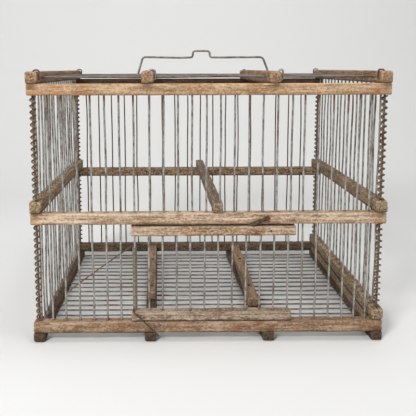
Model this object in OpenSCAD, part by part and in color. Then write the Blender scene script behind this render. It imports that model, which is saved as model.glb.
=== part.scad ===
// Canary breeding cage of wooden bars and galvanised wire.
// Six rails run left to right, bars lie across them, and the wires of the walls, roof
// and floor pass through holes in the wood. Posts wound with wire tie the corners.
// Millimetres, +Z up, the front faces -Y, origin under the middle of the cage.

/* [Cage] */
// Length of the rails, the width of the cage
cage_w = 400; // [340:5:460]
// Length of the crossbars, the depth of the cage
cage_d = 292; // [240:2:340]
// Clear height between the bottom rails and the middle rails
lower_clear = 114; // [100:0.5:140]
// Clear height between the middle rails and the top rails
upper_clear = 131.5; // [100:0.5:160]

/* [Wood] */
// Depth of every rail, front to back
rail_t = 13; // [11:0.5:16]
// Height of every rail
rail_h = 13; // [11:0.5:15]
// Width of every crossbar
bar_w = 14; // [11:0.5:16]
// Height of the crossbars on the roof
roof_bar_h = 13.5; // [11:0.5:16]
// Height of the crossbars under the floor, which are the feet
floor_bar_h = 11.5; // [11:0.5:15]
// Height of the bars that lie on the middle rails at each side
side_bar_h = 13; // [10:0.5:15]
// Height of the extra bar that stands on the bottom rails at the right
base_bar_h = 13.5; // [10:0.5:15]
// How far the outer crossbars stand out past the ends of the rails
side_proud = 1; // [-2:0.5:2]
// Worn edge taken off every long corner of the wood
edge_wear = 1; // [0.5:0.1:1.6]

/* [Inner crossbars] */
// Front end of the inner left roof crossbar, from the middle of the cage
roof_left_x = -67.5; // [-80:0.5:-60]
// Front end of the inner right roof crossbar, from the middle of the cage
roof_right_x = 72.4; // [62:0.2:80]
// How far the back end of the inner left roof crossbar leans to the right
roof_left_lean = -8; // [-12:1:6]
// How far the back end of the inner right roof crossbar leans to the right
roof_right_lean = 2; // [-10:1:6]
// Front end of the inner left floor crossbar, from the middle of the cage
floor_left_x = -66.4; // [-80:0.2:-60]
// Front end of the inner right floor crossbar, from the middle of the cage
floor_right_x = 69.5; // [60:0.5:80]
// How far the back end of the inner left floor crossbar leans to the right
floor_left_lean = -7; // [-12:1:6]
// How far the back end of the inner right floor crossbar leans to the right
floor_right_lean = -16; // [-20:1:4]

/* [Floor battens] */
// Width of each batten that lies on an inner floor crossbar
batten_w = 11.5; // [9:0.5:13]
// Height of each batten
batten_h = 11.5; // [9:0.5:14]
// Length of the left batten
left_batten_l = 190; // [150:2:200]
// Length of the right batten
right_batten_l = 202; // [150:2:204]

/* [Wires] */
// Diameter of the wires of the front, sides, roof and floor
wire_d = 2.3; // [1.8:0.1:2.6]
// Diameter of the thinner wires of the back
back_wire_d = 2; // [1.6:0.1:2.4]
// Spacing of the front wires and of the door's wires
front_pitch = 15.86; // [14:0.02:18]
// Spacing of the back wires
back_pitch = 20.4; // [14:0.1:24]
// Number of wires at the left side
side_left_n = 19; // [14:1:20]
// Number of wires at the right side
side_right_n = 17; // [14:1:20]
// Number of roof wires
roof_wire_n = 17; // [13:2:19]
// Number of floor wires
floor_wire_n = 19; // [15:1:21]
// Distance of the first side wires from the corner posts
side_room = 11; // [9:0.5:20]
// Distance of the first roof wires from the corner posts
roof_room = 19.5; // [14:0.5:24]
// Distance of the first floor wires from the rails
floor_row_room = 1.6; // [1.4:0.1:4]
// How far the wires above the door stand to the right of the door's own
upper_shift = 1.8; // [-2:0.2:2]
// Room left round a wire in its hole, on the radius
wire_fit = 0.1; // [0.05:0.01:0.15]
// Depth of a wire's hole that doesn't go right through a rail
wire_seat = 6; // [3:0.5:7]

/* [Corner posts] */
// Diameter of the straight wire in the middle of each post
core_d = 2.6; // [2:0.1:3]
// Diameter of the wire that is wound round it
wrap_d = 1.8; // [1.4:0.1:2.2]
// Room between the two, on the radius
wrap_room = 0.7; // [0.6:0.1:1.2]
// Height in which the wound wire goes once round
wrap_pitch = 6.8; // [5:0.1:9]
// Room left round a post in its hole, on the radius
post_fit = 0.25; // [0.1:0.05:0.4]

/* [Door] */
// Place of the wire that the door hangs on, from the middle of the cage
hinge_x = -83.8; // [-94:0.2:-76]
// Number of the door's wires that stand to the right of the hinge wire
door_wire_n = 11; // [8:1:11]
// Height of the door's top rail
door_top_h = 11.2; // [10:0.2:14]
// Height of the door's bottom rail
door_foot_h = 10.8; // [10:0.2:14]
// Gap between the door and the middle rail
door_head_gap = 2.2; // [1:0.1:3]
// Gap between the door and the bottom rail
door_foot_gap = 0.8; // [0.4:0.1:1.5]
// Wood left of the hinge wire on both of the door's rails
door_heel = 4.3; // [2.8:0.1:5]
// Wood right of the last wire on the door's top rail
door_top_toe = 8; // [4:0.5:9]
// Wood right of the last wire on the door's bottom rail
door_foot_toe = 4.8; // [4:0.2:9]
// Room round the hinge wire in the door's rails, on the radius
hinge_fit = 0.08; // [0.05:0.01:0.1]

/* [Door spring] */
// Diameter of the spring's wire
spring_wire_d = 1.2; // [0.9:0.1:1.3]
// Room between the hinge wire and the spring round it, on the radius
spring_room = 0.35; // [0.3:0.05:0.5]
// Length of the coil
coil_l = 74; // [50:1:76]
// Spacing of the coil's turns
coil_pitch = 1.65; // [1.6:0.05:2.4]
// Length of the upper leg, which bears on the wires left of the door
upper_leg_l = 88; // [70:1:92]
// Slope of the upper leg, in degrees below level
upper_leg_slope = 36; // [25:1:40]
// Length of the lower leg, which holds the door shut from in front
lower_leg_l = 41; // [30:1:42]
// Slope of the lower leg, in degrees below level
lower_leg_slope = 45; // [40:1:48]

/* [Latch] */
// Place of the latch's nail, from the middle of the cage
latch_x = 65; // [56:1:72]
// Distance from the nail to the tip of the latch
latch_l = 20; // [14:0.5:22]
// Width of the latch at its nail
latch_w = 4.8; // [4:0.2:6]
// Width of the latch at its tip
latch_tip_w = 3.2; // [2.6:0.2:4]
// Thickness of the latch
latch_t = 2.4; // [1.8:0.2:3.2]
// Diameter of the latch's nail
latch_nail_d = 2; // [1.6:0.1:2.2]
// Room round the nail in the latch, on the radius
latch_fit = 0.08; // [0.05:0.01:0.1]
// Gap between pieces that slide past each other
slide_gap = 0.4; // [0.3:0.05:0.6]

/* [Perch] */
// Width of the perch
perch_w = 12; // [10:0.5:12.4]
// Height of the perch
perch_h = 12; // [9:0.5:14]
// How far the perch stands out past the front rail
perch_proud = 2.5; // [1:0.5:6]
// How far the back wire that carries the perch stands to the right of the front one
perch_lean = -8.9; // [-9:0.1:9]
// Offset of the perch from the front wire that passes through it
perch_front_off = -3; // [-3.4:0.2:0]
// Offset of the perch from the back wire that passes through it
perch_back_off = -1.3; // [-3:0.1:0]
// How far the perch's back end stops short of the cage's back
perch_short = 2.5; // [0:0.5:3]
// Room round the wires in the perch's holes, on the radius
perch_fit = 0.35; // [0.3:0.05:0.4]

/* [Handle] */
// Diameter of the handle's wire
handle_d = 2.8; // [2:0.1:3]
// Distance between the handle's two eyes
handle_span = 179; // [176:1:190]
// Length of the handle's level bar
handle_bar_l = 161; // [156:1:174]
// Height of the level bar over the roof wire that carries the handle
handle_rise = 26.5; // [22:0.5:34]
// Width of the raised grip in the middle
grip_w = 27; // [22:1:50]
// How far the grip is raised over the level bar
grip_rise = 8; // [6:0.5:14]
// Room round the roof wire in the handle's eyes, on the radius
eye_fit = 0.08; // [0.05:0.01:0.1]

/* [Nails] */
// Diameter of the nails
nail_d = 2; // [1.6:0.1:2.4]
// Diameter of the nails' heads
nail_head_d = 4.4; // [3.6:0.2:5]
// Thickness of the nails' heads
nail_head_t = 1; // [0.8:0.1:1.4]
// Room round a nail in its hole, on the radius
nail_fit = 0.05; // [0.03:0.01:0.1]

/* [Hidden] */
round_fn = 48;
nudge = 0.01;

// Levels
rail_foot_z = floor_bar_h;
base_z = rail_foot_z + rail_h;
rail_mid_z = base_z + lower_clear;
side_bar_z = rail_mid_z + rail_h;
rail_top_z = side_bar_z + upper_clear;
roof_bar_z = rail_top_z + rail_h;
roof_z = roof_bar_z + roof_bar_h;
floor_wire_z = floor_bar_h / 2;
roof_wire_z = roof_bar_z + roof_bar_h / 2;

// Plan
front_y = -cage_d / 2;
back_y = cage_d / 2;
wall_y = cage_d / 2 - rail_t / 2;
side_x = cage_w / 2 + side_proud - bar_w / 2;
post_clear = 9.3;

// Wires of the front. They keep their spacing away from the hinge wire, and the last
// gaps before each corner post share what is left.
end_gaps = 3;
left_n = floor((hinge_x + side_x) / front_pitch);
right_n = floor((side_x - hinge_x) / front_pitch);
left_even = left_n - end_gaps + 1;
right_even = right_n - end_gaps + 1;
left_end_pitch = (hinge_x + side_x - left_even * front_pitch) / end_gaps;
right_end_pitch = (side_x - hinge_x - right_even * front_pitch) / end_gaps;
function front_x(k) =
    k < -left_even ? hinge_x - left_even * front_pitch + (k + left_even) * left_end_pitch
    : k > right_even ? hinge_x + right_even * front_pitch + (k - right_even) * right_end_pitch
    : hinge_x + k * front_pitch;
left_ks = [-left_n : -1];
door_ks = [1 : door_wire_n];
right_ks = [door_wire_n + 1 : right_n];
function upper_x(k) = front_x(k) + upper_shift;

// Wires of the back, counted from the one that carries the perch
perch_k = 6;
perch_front_x = upper_x(perch_k);
perch_back_x = perch_front_x + perch_lean;
back_left_n = floor((perch_back_x + side_x - post_clear) / back_pitch);
back_right_n = floor((side_x - perch_back_x - post_clear) / back_pitch);
back_ks = [-back_left_n : back_right_n];
function back_x(k) = perch_back_x + k * back_pitch;

// Wires of the sides, roof and floor, counted from the front
side_row_y = wall_y - side_room;
function side_n(s) = s < 0 ? side_left_n : side_right_n;
function side_y(s, k) = -side_row_y + k * 2 * side_row_y / (side_n(s) - 1);
roof_row_y = wall_y - roof_room;
roof_pitch = 2 * roof_row_y / (roof_wire_n - 1);
roof_ks = [0 : roof_wire_n - 1];
function roof_y(k) = -roof_row_y + k * roof_pitch;
floor_row_y = wall_y - rail_t / 2 - floor_row_room;
floor_pitch = 2 * floor_row_y / (floor_wire_n - 1);
floor_ks = [0 : floor_wire_n - 1];
function floor_y(k) = -floor_row_y + k * floor_pitch;
side_seat = 4;
cross_skin = 3;
cross_seat = bar_w - cross_skin;
seat_play = 0.5;
cross_wire_reach = side_x - bar_w / 2 + cross_seat - seat_play;

// Bends of the wires are a hair thicker than the straight runs that lap into them
bend_swell = 0.05;
bend_lap = 0.2;

// Clinched ends
clinch_gap = 0.3;
clinch_rise = 2;
clinch_bite = 4;
clinch_web = 0.6;
end_shift = 1.5;
clinch_h = 4.5;
clinch_z = roof_bar_z + clinch_h;
left_clinch_k = round((roof_left_x - upper_shift - hinge_x) / front_pitch);
right_clinch_k = round((roof_right_x - upper_shift - hinge_x) / front_pitch);

// Nails
sunk_head = 0.4;
roof_nail_l = roof_bar_h + 5;
floor_nail_l = floor_bar_h + 8;
batten_nail_l = batten_h + 5;

// Battens
batten_y1 = wall_y - rail_t / 2;
left_batten_y0 = batten_y1 - left_batten_l;
right_batten_y0 = batten_y1 - right_batten_l;
right_batten_x = bar_x_at(floor_right_x, floor_right_lean, 0);
batten_nail_ks = [round(floor_wire_n * 0.32), round(floor_wire_n * 0.68)];

// Door
door_foot_z = base_z + door_foot_gap;
door_foot_top = door_foot_z + door_foot_h;
door_top = rail_mid_z - door_head_gap;
door_top_z = door_top - door_top_h;
door_x0 = hinge_x - door_heel;
door_last_x = front_x(door_wire_n);
door_wire_seat = 8;
keeper_hole_d = 1.6;
keeper_hole_l = 5;
keeper_hole_x = latch_x + 5;

// Door spring
coil_r = wire_d / 2 + spring_room + spring_wire_d / 2;
coil_seat = 0.7;
coil_z0 = door_foot_top + coil_seat + spring_wire_d / 2;
coil_z1 = coil_z0 + coil_l;
coil_turns = coil_l / coil_pitch;
curl_rings = 8;
tube_sides = 6;
leg_y = front_y - slide_gap - spring_wire_d / 2;
leg_bend = 1.6;

// Latch
latch_y = front_y - slide_gap - latch_t;
latch_z = rail_mid_z + rail_h / 2 + 0.5;
latch_free_z = door_top + slide_gap;
latch_slope = asin((latch_z - latch_free_z - latch_tip_w / 2) / latch_l);
latch_nail_skin = 4;
latch_nail_bite = rail_t - latch_nail_skin;
latch_heel = latch_w * 0.62;

// Perch
perch_front_y = front_y - perch_proud;
perch_back_y = back_y - perch_short;
perch_mid_front = perch_front_x + perch_front_off;
perch_mid_back = perch_back_x + perch_back_off;

// Handle
eye_wire_d = handle_d + 0.2;
eye_r = wire_d / 2 + eye_fit + eye_wire_d / 2;
grip_bend = 4;
shoulder_bend = 7;
handle_y = roof_y(round((roof_wire_n - 1) / 2));
grip_slope_w = 3.4;

// ---- Shapes that repeat ----

// Section of a bar: a rectangle with worn corners, standing on the X axis
module bar_section(w, h) {
    e = edge_wear;
    polygon([
        [-w / 2 + e, 0], [w / 2 - e, 0], [w / 2, e], [w / 2, h - e],
        [w / 2 - e, h], [-w / 2 + e, h], [-w / 2, h - e], [-w / 2, e]
    ]);
}

// Bar from x0 to x1, its underside at z
module bar_along_x(x0, x1, y, z, w, h) {
    translate([x0, y, z]) rotate([90, 0, 90]) linear_extrude(x1 - x0) bar_section(w, h);
}

// Bar from y0 to y1, its underside at z
module bar_along_y(x, y0, y1, z, w, h) {
    translate([x, y1, z]) rotate([90, 0, 0]) linear_extrude(y1 - y0) bar_section(w, h);
}

// Bar from (x0, y0) to (x1, y1), with its ends cut square to the cage
module leaning_bar(x0, y0, x1, y1, z, w, h) {
    turn = atan2(x0 - x1, y1 - y0);
    long = norm([x1 - x0, y1 - y0]) + 2 * w;
    intersection() {
        translate([(x0 + x1) / 2, (y0 + y1) / 2, 0]) rotate([0, 0, turn])
            bar_along_y(0, -long / 2, long / 2, z, w, h);
        translate([min(x0, x1) - w, y0, z - 1]) cube([abs(x1 - x0) + 2 * w, y1 - y0, h + 2]);
    }
}

// Middle of a leaning crossbar at depth y
function bar_x_at(front_x, lean, y) = front_x + lean * (y - front_y) / cage_d;

// Crossbar over the whole depth
module crossbar(front_x, lean, z, h) {
    leaning_bar(front_x, front_y, front_x + lean, back_y, z, bar_w, h);
}

// Upright round rod or hole from z0 to z1
module upright(x, y, z0, z1, d) {
    translate([x, y, z0]) cylinder(h = z1 - z0, d = d, $fn = round_fn);
}

// Round rod or hole along X
module level(x0, x1, y, z, d) {
    translate([x0, y, z]) rotate([0, 90, 0]) cylinder(h = x1 - x0, d = d, $fn = round_fn);
}

// Nail with its head on top, driven down from z
module nail_down(x, y, z, l, fit = 0) {
    upright(x, y, z - l, z, nail_d + 2 * fit);
    upright(x, y, z, z + nail_head_t, nail_head_d + 2 * fit);
}

// Nail driven up from below with its head sunk into the wood, or with some fit its hole
module nail_up(x, y, z, l, fit = 0) {
    head_z = z + sunk_head;
    upright(x, y, fit > 0 ? z - nudge : head_z, head_z + nail_head_t, nail_head_d + 2 * fit);
    upright(x, y, head_z, head_z + l, nail_d + 2 * fit);
}

// Arc of wire round the origin
module wire_arc(turn, r, d) {
    rotate_extrude(angle = turn, $fn = round_fn) translate([r, 0])
        circle(d = d + bend_swell, $fn = round_fn);
}

// One bend of a flat wire: from direction a to direction b, ends at the tangent points
module wire_bend(p, a, b, r, d) {
    turn = b - a;
    s = sign(turn);
    start = p - r * tan(abs(turn) / 2) * [cos(a), sin(a)];
    centre = start + s * r * [-sin(a), cos(a)];
    translate([centre[0], centre[1], 0]) rotate([0, 0, a - s * 90])
        wire_arc(turn, r, d);
}

// Wire bent in one plane through the points, with one bend radius for each corner
module flat_wire(points, radii, d) {
    n = len(points);
    heading = [for (i = [0 : n - 2]) let (v = points[i + 1] - points[i]) atan2(v[1], v[0])];
    turn = [for (i = [0 : n - 3]) let (t = heading[i + 1] - heading[i])
        t > 180 ? t - 360 : t < -180 ? t + 360 : t];
    cut = [for (i = [0 : n - 1])
        i == 0 || i == n - 1 ? 0 : radii[i - 1] * tan(abs(turn[i - 1]) / 2)];
    for (i = [0 : n - 2]) {
        from = max(cut[i] - bend_lap, 0);
        to = norm(points[i + 1] - points[i]) - max(cut[i + 1] - bend_lap, 0);
        start = points[i] + from * [cos(heading[i]), sin(heading[i])];
        translate([start[0], start[1], 0]) rotate([0, 90, heading[i]])
            cylinder(h = to - from, d = d, $fn = round_fn);
    }
    for (i = [1 : n - 2])
        wire_bend(points[i], heading[i - 1], heading[i - 1] + turn[i - 1], radii[i - 1], d);
}

// The same, standing upright across the cage at depth y
module upright_wire(points, y, radii, d) {
    translate([0, y, 0]) rotate([90, 0, 0]) flat_wire(points, radii, d);
}

// Where an end that comes up through a roof crossbar at x, turns over to the side whose
// face is at face_x and goes back into the wood there, runs down and where its tip is
function clinch_out(x, face_x, d) = face_x + sign(face_x - x) * (clinch_gap + d / 2);
function clinch_tip(x, face_x, d) = face_x
    - sign(face_x - x) * min(clinch_bite, abs(face_x - x) - d / 2 - clinch_web);

module clinch(x, z, face_x, y, d) {
    out = clinch_out(x, face_x, d);
    tip = clinch_tip(x, face_x, d);
    s = sign(out - x);
    bend = clinch_gap + d / 2;
    r = min(clinch_rise, abs(out - x) / 2);
    over_z = roof_z + clinch_rise - r;
    over_x0 = min(x, out) + r;
    over_x1 = max(x, out) - r;
    upright(x, y, z, over_z + bend_lap, d);
    translate([over_x0, y, over_z]) rotate([90, 0, 0]) rotate([0, 0, 90]) wire_arc(90, r, d);
    level(over_x0 - bend_lap, over_x1 + bend_lap, y, roof_z + clinch_rise, d);
    translate([over_x1, y, over_z]) rotate([90, 0, 0]) wire_arc(90, r, d);
    upright(out, y, clinch_z + bend - bend_lap, over_z + bend_lap, d);
    translate([face_x, y, clinch_z + bend]) rotate([90, 0, 0])
        rotate([0, 0, s > 0 ? -90 : 180]) wire_arc(90, bend, d);
    level(min(tip, face_x + s * bend_lap), max(tip, face_x + s * bend_lap), y, clinch_z, d);
}

// Holes that such an end needs in its crossbar
module clinch_holes(x, face_x, y, d) {
    tip = clinch_tip(x, face_x, d);
    out = clinch_out(x, face_x, d);
    upright(x, y, roof_bar_z - nudge, roof_z + nudge, d + 2 * wire_fit);
    level(min(tip, out), max(tip, out), y, clinch_z, d + 2 * wire_fit);
}

// Holes of the roof wires, from x0 to x1
module roof_wire_holes(x0, x1) {
    for (k = roof_ks) level(x0, x1, roof_y(k), roof_wire_z, wire_d + 2 * wire_fit);
}

// Holes of the floor wires, from x0 to x1
module floor_wire_holes(x0, x1) {
    for (k = floor_ks) level(x0, x1, floor_y(k), floor_wire_z, wire_d + 2 * wire_fit);
}

// Wires of one side, left if s is -1, from z0 to z1, or with some fit their holes
module side_rods(s, z0, z1, fit = 0) {
    for (k = [0 : side_n(s) - 1]) upright(s * side_x, side_y(s, k), z0, z1, wire_d + 2 * fit);
}

module post_hole(x, y, z0, z1) {
    upright(x, y, z0, z1, core_d + 2 * post_fit);
}

// ---- Rails ----

module rail(y, z) {
    bar_along_x(-cage_w / 2, cage_w / 2, y, z, rail_t, rail_h);
}

module rail_post_holes(y, z) {
    for (x = [-side_x, side_x]) post_hole(x, y, z - nudge, z + rail_h + nudge);
}

module front_holes(ks, z0, z1) {
    for (k = ks) upright(front_x(k), -wall_y, z0, z1, wire_d + 2 * wire_fit);
}

module back_holes(z0, z1) {
    for (k = back_ks) upright(back_x(k), wall_y, z0, z1, back_wire_d + 2 * wire_fit);
}

module top_rail_front() {
    seat = rail_top_z + wire_seat;
    color("burlywood") difference() {
        rail(-wall_y, rail_top_z);
        rail_post_holes(-wall_y, rail_top_z);
        for (ks = [left_ks, right_ks, [0]]) front_holes(ks, rail_top_z - nudge, seat);
        for (k = door_ks) {
            through = k == left_clinch_k || k == right_clinch_k;
            upright(upper_x(k), -wall_y, rail_top_z - nudge,
                    through ? roof_bar_z + nudge : seat, wire_d + 2 * wire_fit);
        }
    }
}

module top_rail_back() {
    color("tan") difference() {
        rail(wall_y, rail_top_z);
        rail_post_holes(wall_y, rail_top_z);
        back_holes(rail_top_z - nudge, rail_top_z + wire_seat);
        roof_nail_set(nail_fit);
    }
}

module middle_rail_front() {
    color("burlywood") difference() {
        rail(-wall_y, rail_mid_z);
        rail_post_holes(-wall_y, rail_mid_z);
        for (ks = [left_ks, right_ks, [0]])
            front_holes(ks, rail_mid_z - nudge, side_bar_z + nudge);
        for (k = door_ks)
            upright(upper_x(k), -wall_y, side_bar_z - wire_seat, side_bar_z + nudge,
                    wire_d + 2 * wire_fit);
        latch_nail_shank(nail_fit);
    }
}

module middle_rail_back() {
    color("tan") difference() {
        rail(wall_y, rail_mid_z);
        rail_post_holes(wall_y, rail_mid_z);
        back_holes(rail_mid_z - nudge, side_bar_z + nudge);
    }
}

module bottom_rail_front() {
    color("burlywood") difference() {
        rail(-wall_y, rail_foot_z);
        rail_post_holes(-wall_y, rail_foot_z);
        for (ks = [left_ks, right_ks, [0]]) front_holes(ks, base_z - wire_seat, base_z + nudge);
        floor_nail_set(nail_fit);
    }
}

module bottom_rail_back() {
    color("tan") difference() {
        rail(wall_y, rail_foot_z);
        rail_post_holes(wall_y, rail_foot_z);
        back_holes(base_z - wire_seat, base_z + nudge);
        floor_nail_set(nail_fit);
    }
}

// ---- Roof ----

// Outer roof crossbar: the side wires end in it from below, the roof wires from inside
module outer_roof_bar(s) {
    x = s * side_x;
    inner = x - s * bar_w / 2;
    deep = inner + s * cross_seat;
    difference() {
        crossbar(x, 0, roof_bar_z, roof_bar_h);
        side_rods(s, roof_bar_z - nudge, roof_bar_z + side_seat, wire_fit);
        roof_wire_holes(min(inner - s, deep), max(inner - s, deep));
        for (y = [-wall_y, wall_y]) clinch_holes(x - s * end_shift, inner, y, wrap_d);
    }
}

module roof_bar_left() {
    color("peru") outer_roof_bar(-1);
}

module roof_bar_right() {
    color("peru") outer_roof_bar(1);
}

// Inner roof crossbar: the roof wires pass through it
module inner_roof_bar(front_x, lean, clinch_k) {
    middle = front_x + lean / 2;
    half = bar_w / 2 + abs(lean) / 2 + 2;
    difference() {
        crossbar(front_x, lean, roof_bar_z, roof_bar_h);
        roof_wire_holes(middle - half, middle + half);
        clinch_holes(upper_x(clinch_k), bar_x_at(front_x, lean, -wall_y) + bar_w / 2, -wall_y,
                     wire_d);
        roof_nail_set(nail_fit);
    }
}

module roof_bar_inner_left() {
    color("peru") inner_roof_bar(roof_left_x, roof_left_lean, left_clinch_k);
}

module roof_bar_inner_right() {
    color("peru") inner_roof_bar(roof_right_x, roof_right_lean, right_clinch_k);
}

module roof_wires() {
    color("silver") for (k = roof_ks)
        level(-cross_wire_reach, cross_wire_reach, roof_y(k), roof_wire_z, wire_d);
}

module roof_nail_set(fit = 0) {
    for (bar = [[roof_left_x, roof_left_lean], [roof_right_x, roof_right_lean]])
        nail_down(bar_x_at(bar[0], bar[1], wall_y), wall_y, roof_z, roof_nail_l, fit);
}

module roof_nails() {
    color("dimgray") roof_nail_set();
}

// ---- Sides ----

// Bar on the middle rails, with the side wires and posts through it
module side_bar(s) {
    top_z = side_bar_z + side_bar_h;
    difference() {
        bar_along_y(s * side_x, front_y, back_y, side_bar_z, bar_w, side_bar_h);
        side_rods(s, side_bar_z - nudge, top_z + nudge, wire_fit);
        for (y = [-wall_y, wall_y]) post_hole(s * side_x, y, side_bar_z - nudge, top_z + nudge);
    }
}

module side_bar_left() {
    color("peru") side_bar(-1);
}

module side_bar_right() {
    color("peru") side_bar(1);
}

module base_bar_right() {
    color("peru") difference() {
        bar_along_y(side_x, front_y, back_y, base_z, bar_w, base_bar_h);
        side_rods(1, base_z + base_bar_h - wire_seat, base_z + base_bar_h + nudge, wire_fit);
        for (y = [-wall_y, wall_y]) post_hole(side_x, y, base_z - nudge, base_z + base_bar_h + nudge);
    }
}

// Bar that closes the gap between the bottom rails under the base bar
module filler_bar_right() {
    color("peru")
        bar_along_y(side_x, -wall_y + rail_t / 2, wall_y - rail_t / 2, rail_foot_z, bar_w, rail_h);
}

module side_wires_left() {
    color("silver") side_rods(-1, floor_bar_h - side_seat, roof_bar_z + side_seat);
}

module side_wires_right() {
    color("silver") side_rods(1, base_z + base_bar_h - wire_seat, roof_bar_z + side_seat);
}

// ---- Floor ----

// Outer floor crossbar: the floor wires end in it from inside
module outer_floor_bar(s) {
    x = s * side_x;
    inner = x - s * bar_w / 2;
    deep = inner + s * cross_seat;
    difference() {
        crossbar(x, 0, 0, floor_bar_h);
        floor_wire_holes(min(inner - s, deep), max(inner - s, deep));
        for (y = [-wall_y, wall_y])
            post_hole(x, y, floor_bar_h - wire_seat, floor_bar_h + nudge);
    }
}

module floor_bar_left() {
    color("sienna") difference() {
        outer_floor_bar(-1);
        side_rods(-1, floor_bar_h - side_seat, floor_bar_h + nudge, wire_fit);
    }
}

module floor_bar_right() {
    color("sienna") outer_floor_bar(1);
}

// Inner floor crossbar: the floor wires pass through it
module inner_floor_bar(front_x, lean) {
    middle = front_x + lean / 2;
    half = bar_w / 2 + abs(lean) / 2 + 2;
    difference() {
        crossbar(front_x, lean, 0, floor_bar_h);
        floor_wire_holes(middle - half, middle + half);
        floor_nail_set(nail_fit);
        batten_nail_set(nail_fit);
    }
}

module floor_bar_inner_left() {
    color("sienna") inner_floor_bar(floor_left_x, floor_left_lean);
}

module floor_bar_inner_right() {
    color("sienna") inner_floor_bar(floor_right_x, floor_right_lean);
}

module floor_wires() {
    color("silver") for (k = floor_ks)
        level(-cross_wire_reach, cross_wire_reach, floor_y(k), floor_wire_z, wire_d);
}

module floor_nail_set(fit = 0) {
    for (bar = [[floor_left_x, floor_left_lean], [floor_right_x, floor_right_lean]])
        for (y = [-wall_y, wall_y])
            nail_up(bar_x_at(bar[0], bar[1], y), y, 0, floor_nail_l, fit);
}

module floor_nails() {
    color("dimgray") floor_nail_set();
}

module floor_batten_left() {
    color("tan") difference() {
        leaning_bar(bar_x_at(floor_left_x, floor_left_lean, left_batten_y0), left_batten_y0,
                    bar_x_at(floor_left_x, floor_left_lean, batten_y1), batten_y1,
                    floor_bar_h, batten_w, batten_h);
        batten_nail_set(nail_fit);
    }
}

module floor_batten_right() {
    color("tan") difference() {
        bar_along_y(right_batten_x, right_batten_y0, batten_y1, floor_bar_h, batten_w, batten_h);
        batten_nail_set(nail_fit);
    }
}

// Two nails in each batten, each midway between two floor wires
module batten_nail_set(fit = 0) {
    for (k = batten_nail_ks) {
        y = floor_y(k + 0.5);
        nail_down(bar_x_at(floor_left_x, floor_left_lean, y), y, floor_bar_h + batten_h,
                  batten_nail_l, fit);
        nail_down(right_batten_x, y, floor_bar_h + batten_h, batten_nail_l, fit);
    }
}

module batten_nails() {
    color("dimgray") batten_nail_set();
}

// ---- Corner posts ----

wrap_r = core_d / 2 + wrap_room + wrap_d / 2;
wrap_rings = 6;
wrap_seat = 0.1;

// Points of a wire wound round the Z axis between two pieces of wood, left-handed
function wrap_path(z0, z1) =
    let (low = z0 + wrap_d / 2 + wrap_seat, high = z1 - wrap_d / 2 - wrap_seat,
         n = round((high - low) / wrap_pitch * wrap_rings))
    [for (i = [0 : n]) let (a = -i * 360 / wrap_rings)
        [wrap_r * cos(a), wrap_r * sin(a), low + (high - low) * i / n]];

// Straight wire from inside the floor crossbar to the roof, with a wire wound round it
// below the middle rail and above the side bar
module corner_post(s, y) {
    foot_z = base_z + (s > 0 ? base_bar_h : 0);
    color("gray") translate([s * side_x, y, 0]) {
        upright(0, 0, floor_bar_h - wire_seat, roof_bar_z, core_d);
        swept_tube(wrap_path(foot_z, rail_mid_z), wrap_d);
        swept_tube(wrap_path(side_bar_z + side_bar_h, rail_top_z), wrap_d);
    }
}

module corner_post_front_left() {
    corner_post(-1, -wall_y);
}

module corner_post_front_right() {
    corner_post(1, -wall_y);
}

module corner_post_back_left() {
    corner_post(-1, wall_y);
}

module corner_post_back_right() {
    corner_post(1, wall_y);
}

// The end of each post's wound wire: it comes up through the roof and is turned back
// into the wood
module post_ends() {
    color("gray") for (s = [-1, 1], y = [-wall_y, wall_y])
        clinch(s * (side_x - end_shift), roof_bar_z, s * (side_x - bar_w / 2), y, wrap_d);
}

// ---- Front and back wires ----

module full_front_wires(ks) {
    for (k = ks)
        upright(front_x(k), -wall_y, base_z - wire_seat, rail_top_z + wire_seat, wire_d);
}

module front_wires_left() {
    color("silver") full_front_wires(left_ks);
}

module front_wires_right() {
    color("silver") full_front_wires(right_ks);
}

module hinge_wire() {
    color("silver") full_front_wires([0]);
}

// Wires above the door. Two go on through the rail and are clinched on a roof crossbar.
module front_wires_upper() {
    color("silver") for (k = door_ks) {
        x = upper_x(k);
        clinched = k == left_clinch_k || k == right_clinch_k;
        bar = k == left_clinch_k ? [roof_left_x, roof_left_lean] : [roof_right_x, roof_right_lean];
        z0 = side_bar_z - wire_seat;
        if (clinched)
            clinch(x, z0, bar_x_at(bar[0], bar[1], -wall_y) + bar_w / 2, -wall_y, wire_d);
        else upright(x, -wall_y, z0, rail_top_z + wire_seat, wire_d);
    }
}

module back_wires() {
    color("rosybrown") for (k = back_ks)
        upright(back_x(k), wall_y, base_z - wire_seat, rail_top_z + wire_seat, back_wire_d);
}

// ---- Door ----

module door_rail(z, h, toe) {
    difference() {
        bar_along_x(door_x0, door_last_x + toe, -wall_y, z, rail_t, h);
        upright(hinge_x, -wall_y, z - nudge, z + h + nudge, wire_d + 2 * hinge_fit);
        children();
    }
}

module door_top_rail() {
    color("wheat") door_rail(door_top_z, door_top_h, door_top_toe) {
        for (k = door_ks)
            upright(front_x(k), -wall_y, door_top_z - nudge, door_top_z + door_wire_seat,
                    wire_d + 2 * wire_fit);
        translate([keeper_hole_x, front_y - nudge, door_top_z + door_top_h / 2]) rotate([-90, 0, 0])
            cylinder(h = keeper_hole_l, d = keeper_hole_d, $fn = round_fn);
    }
}

module door_bottom_rail() {
    color("wheat") door_rail(door_foot_z, door_foot_h, door_foot_toe)
        for (k = door_ks)
            upright(front_x(k), -wall_y, door_foot_top - door_wire_seat, door_foot_top + nudge,
                    wire_d + 2 * wire_fit);
}

module door_wires() {
    color("silver") for (k = door_ks)
        upright(front_x(k), -wall_y, door_foot_top - door_wire_seat, door_top_z + door_wire_seat,
                wire_d);
}

// ---- Door spring ----

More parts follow.
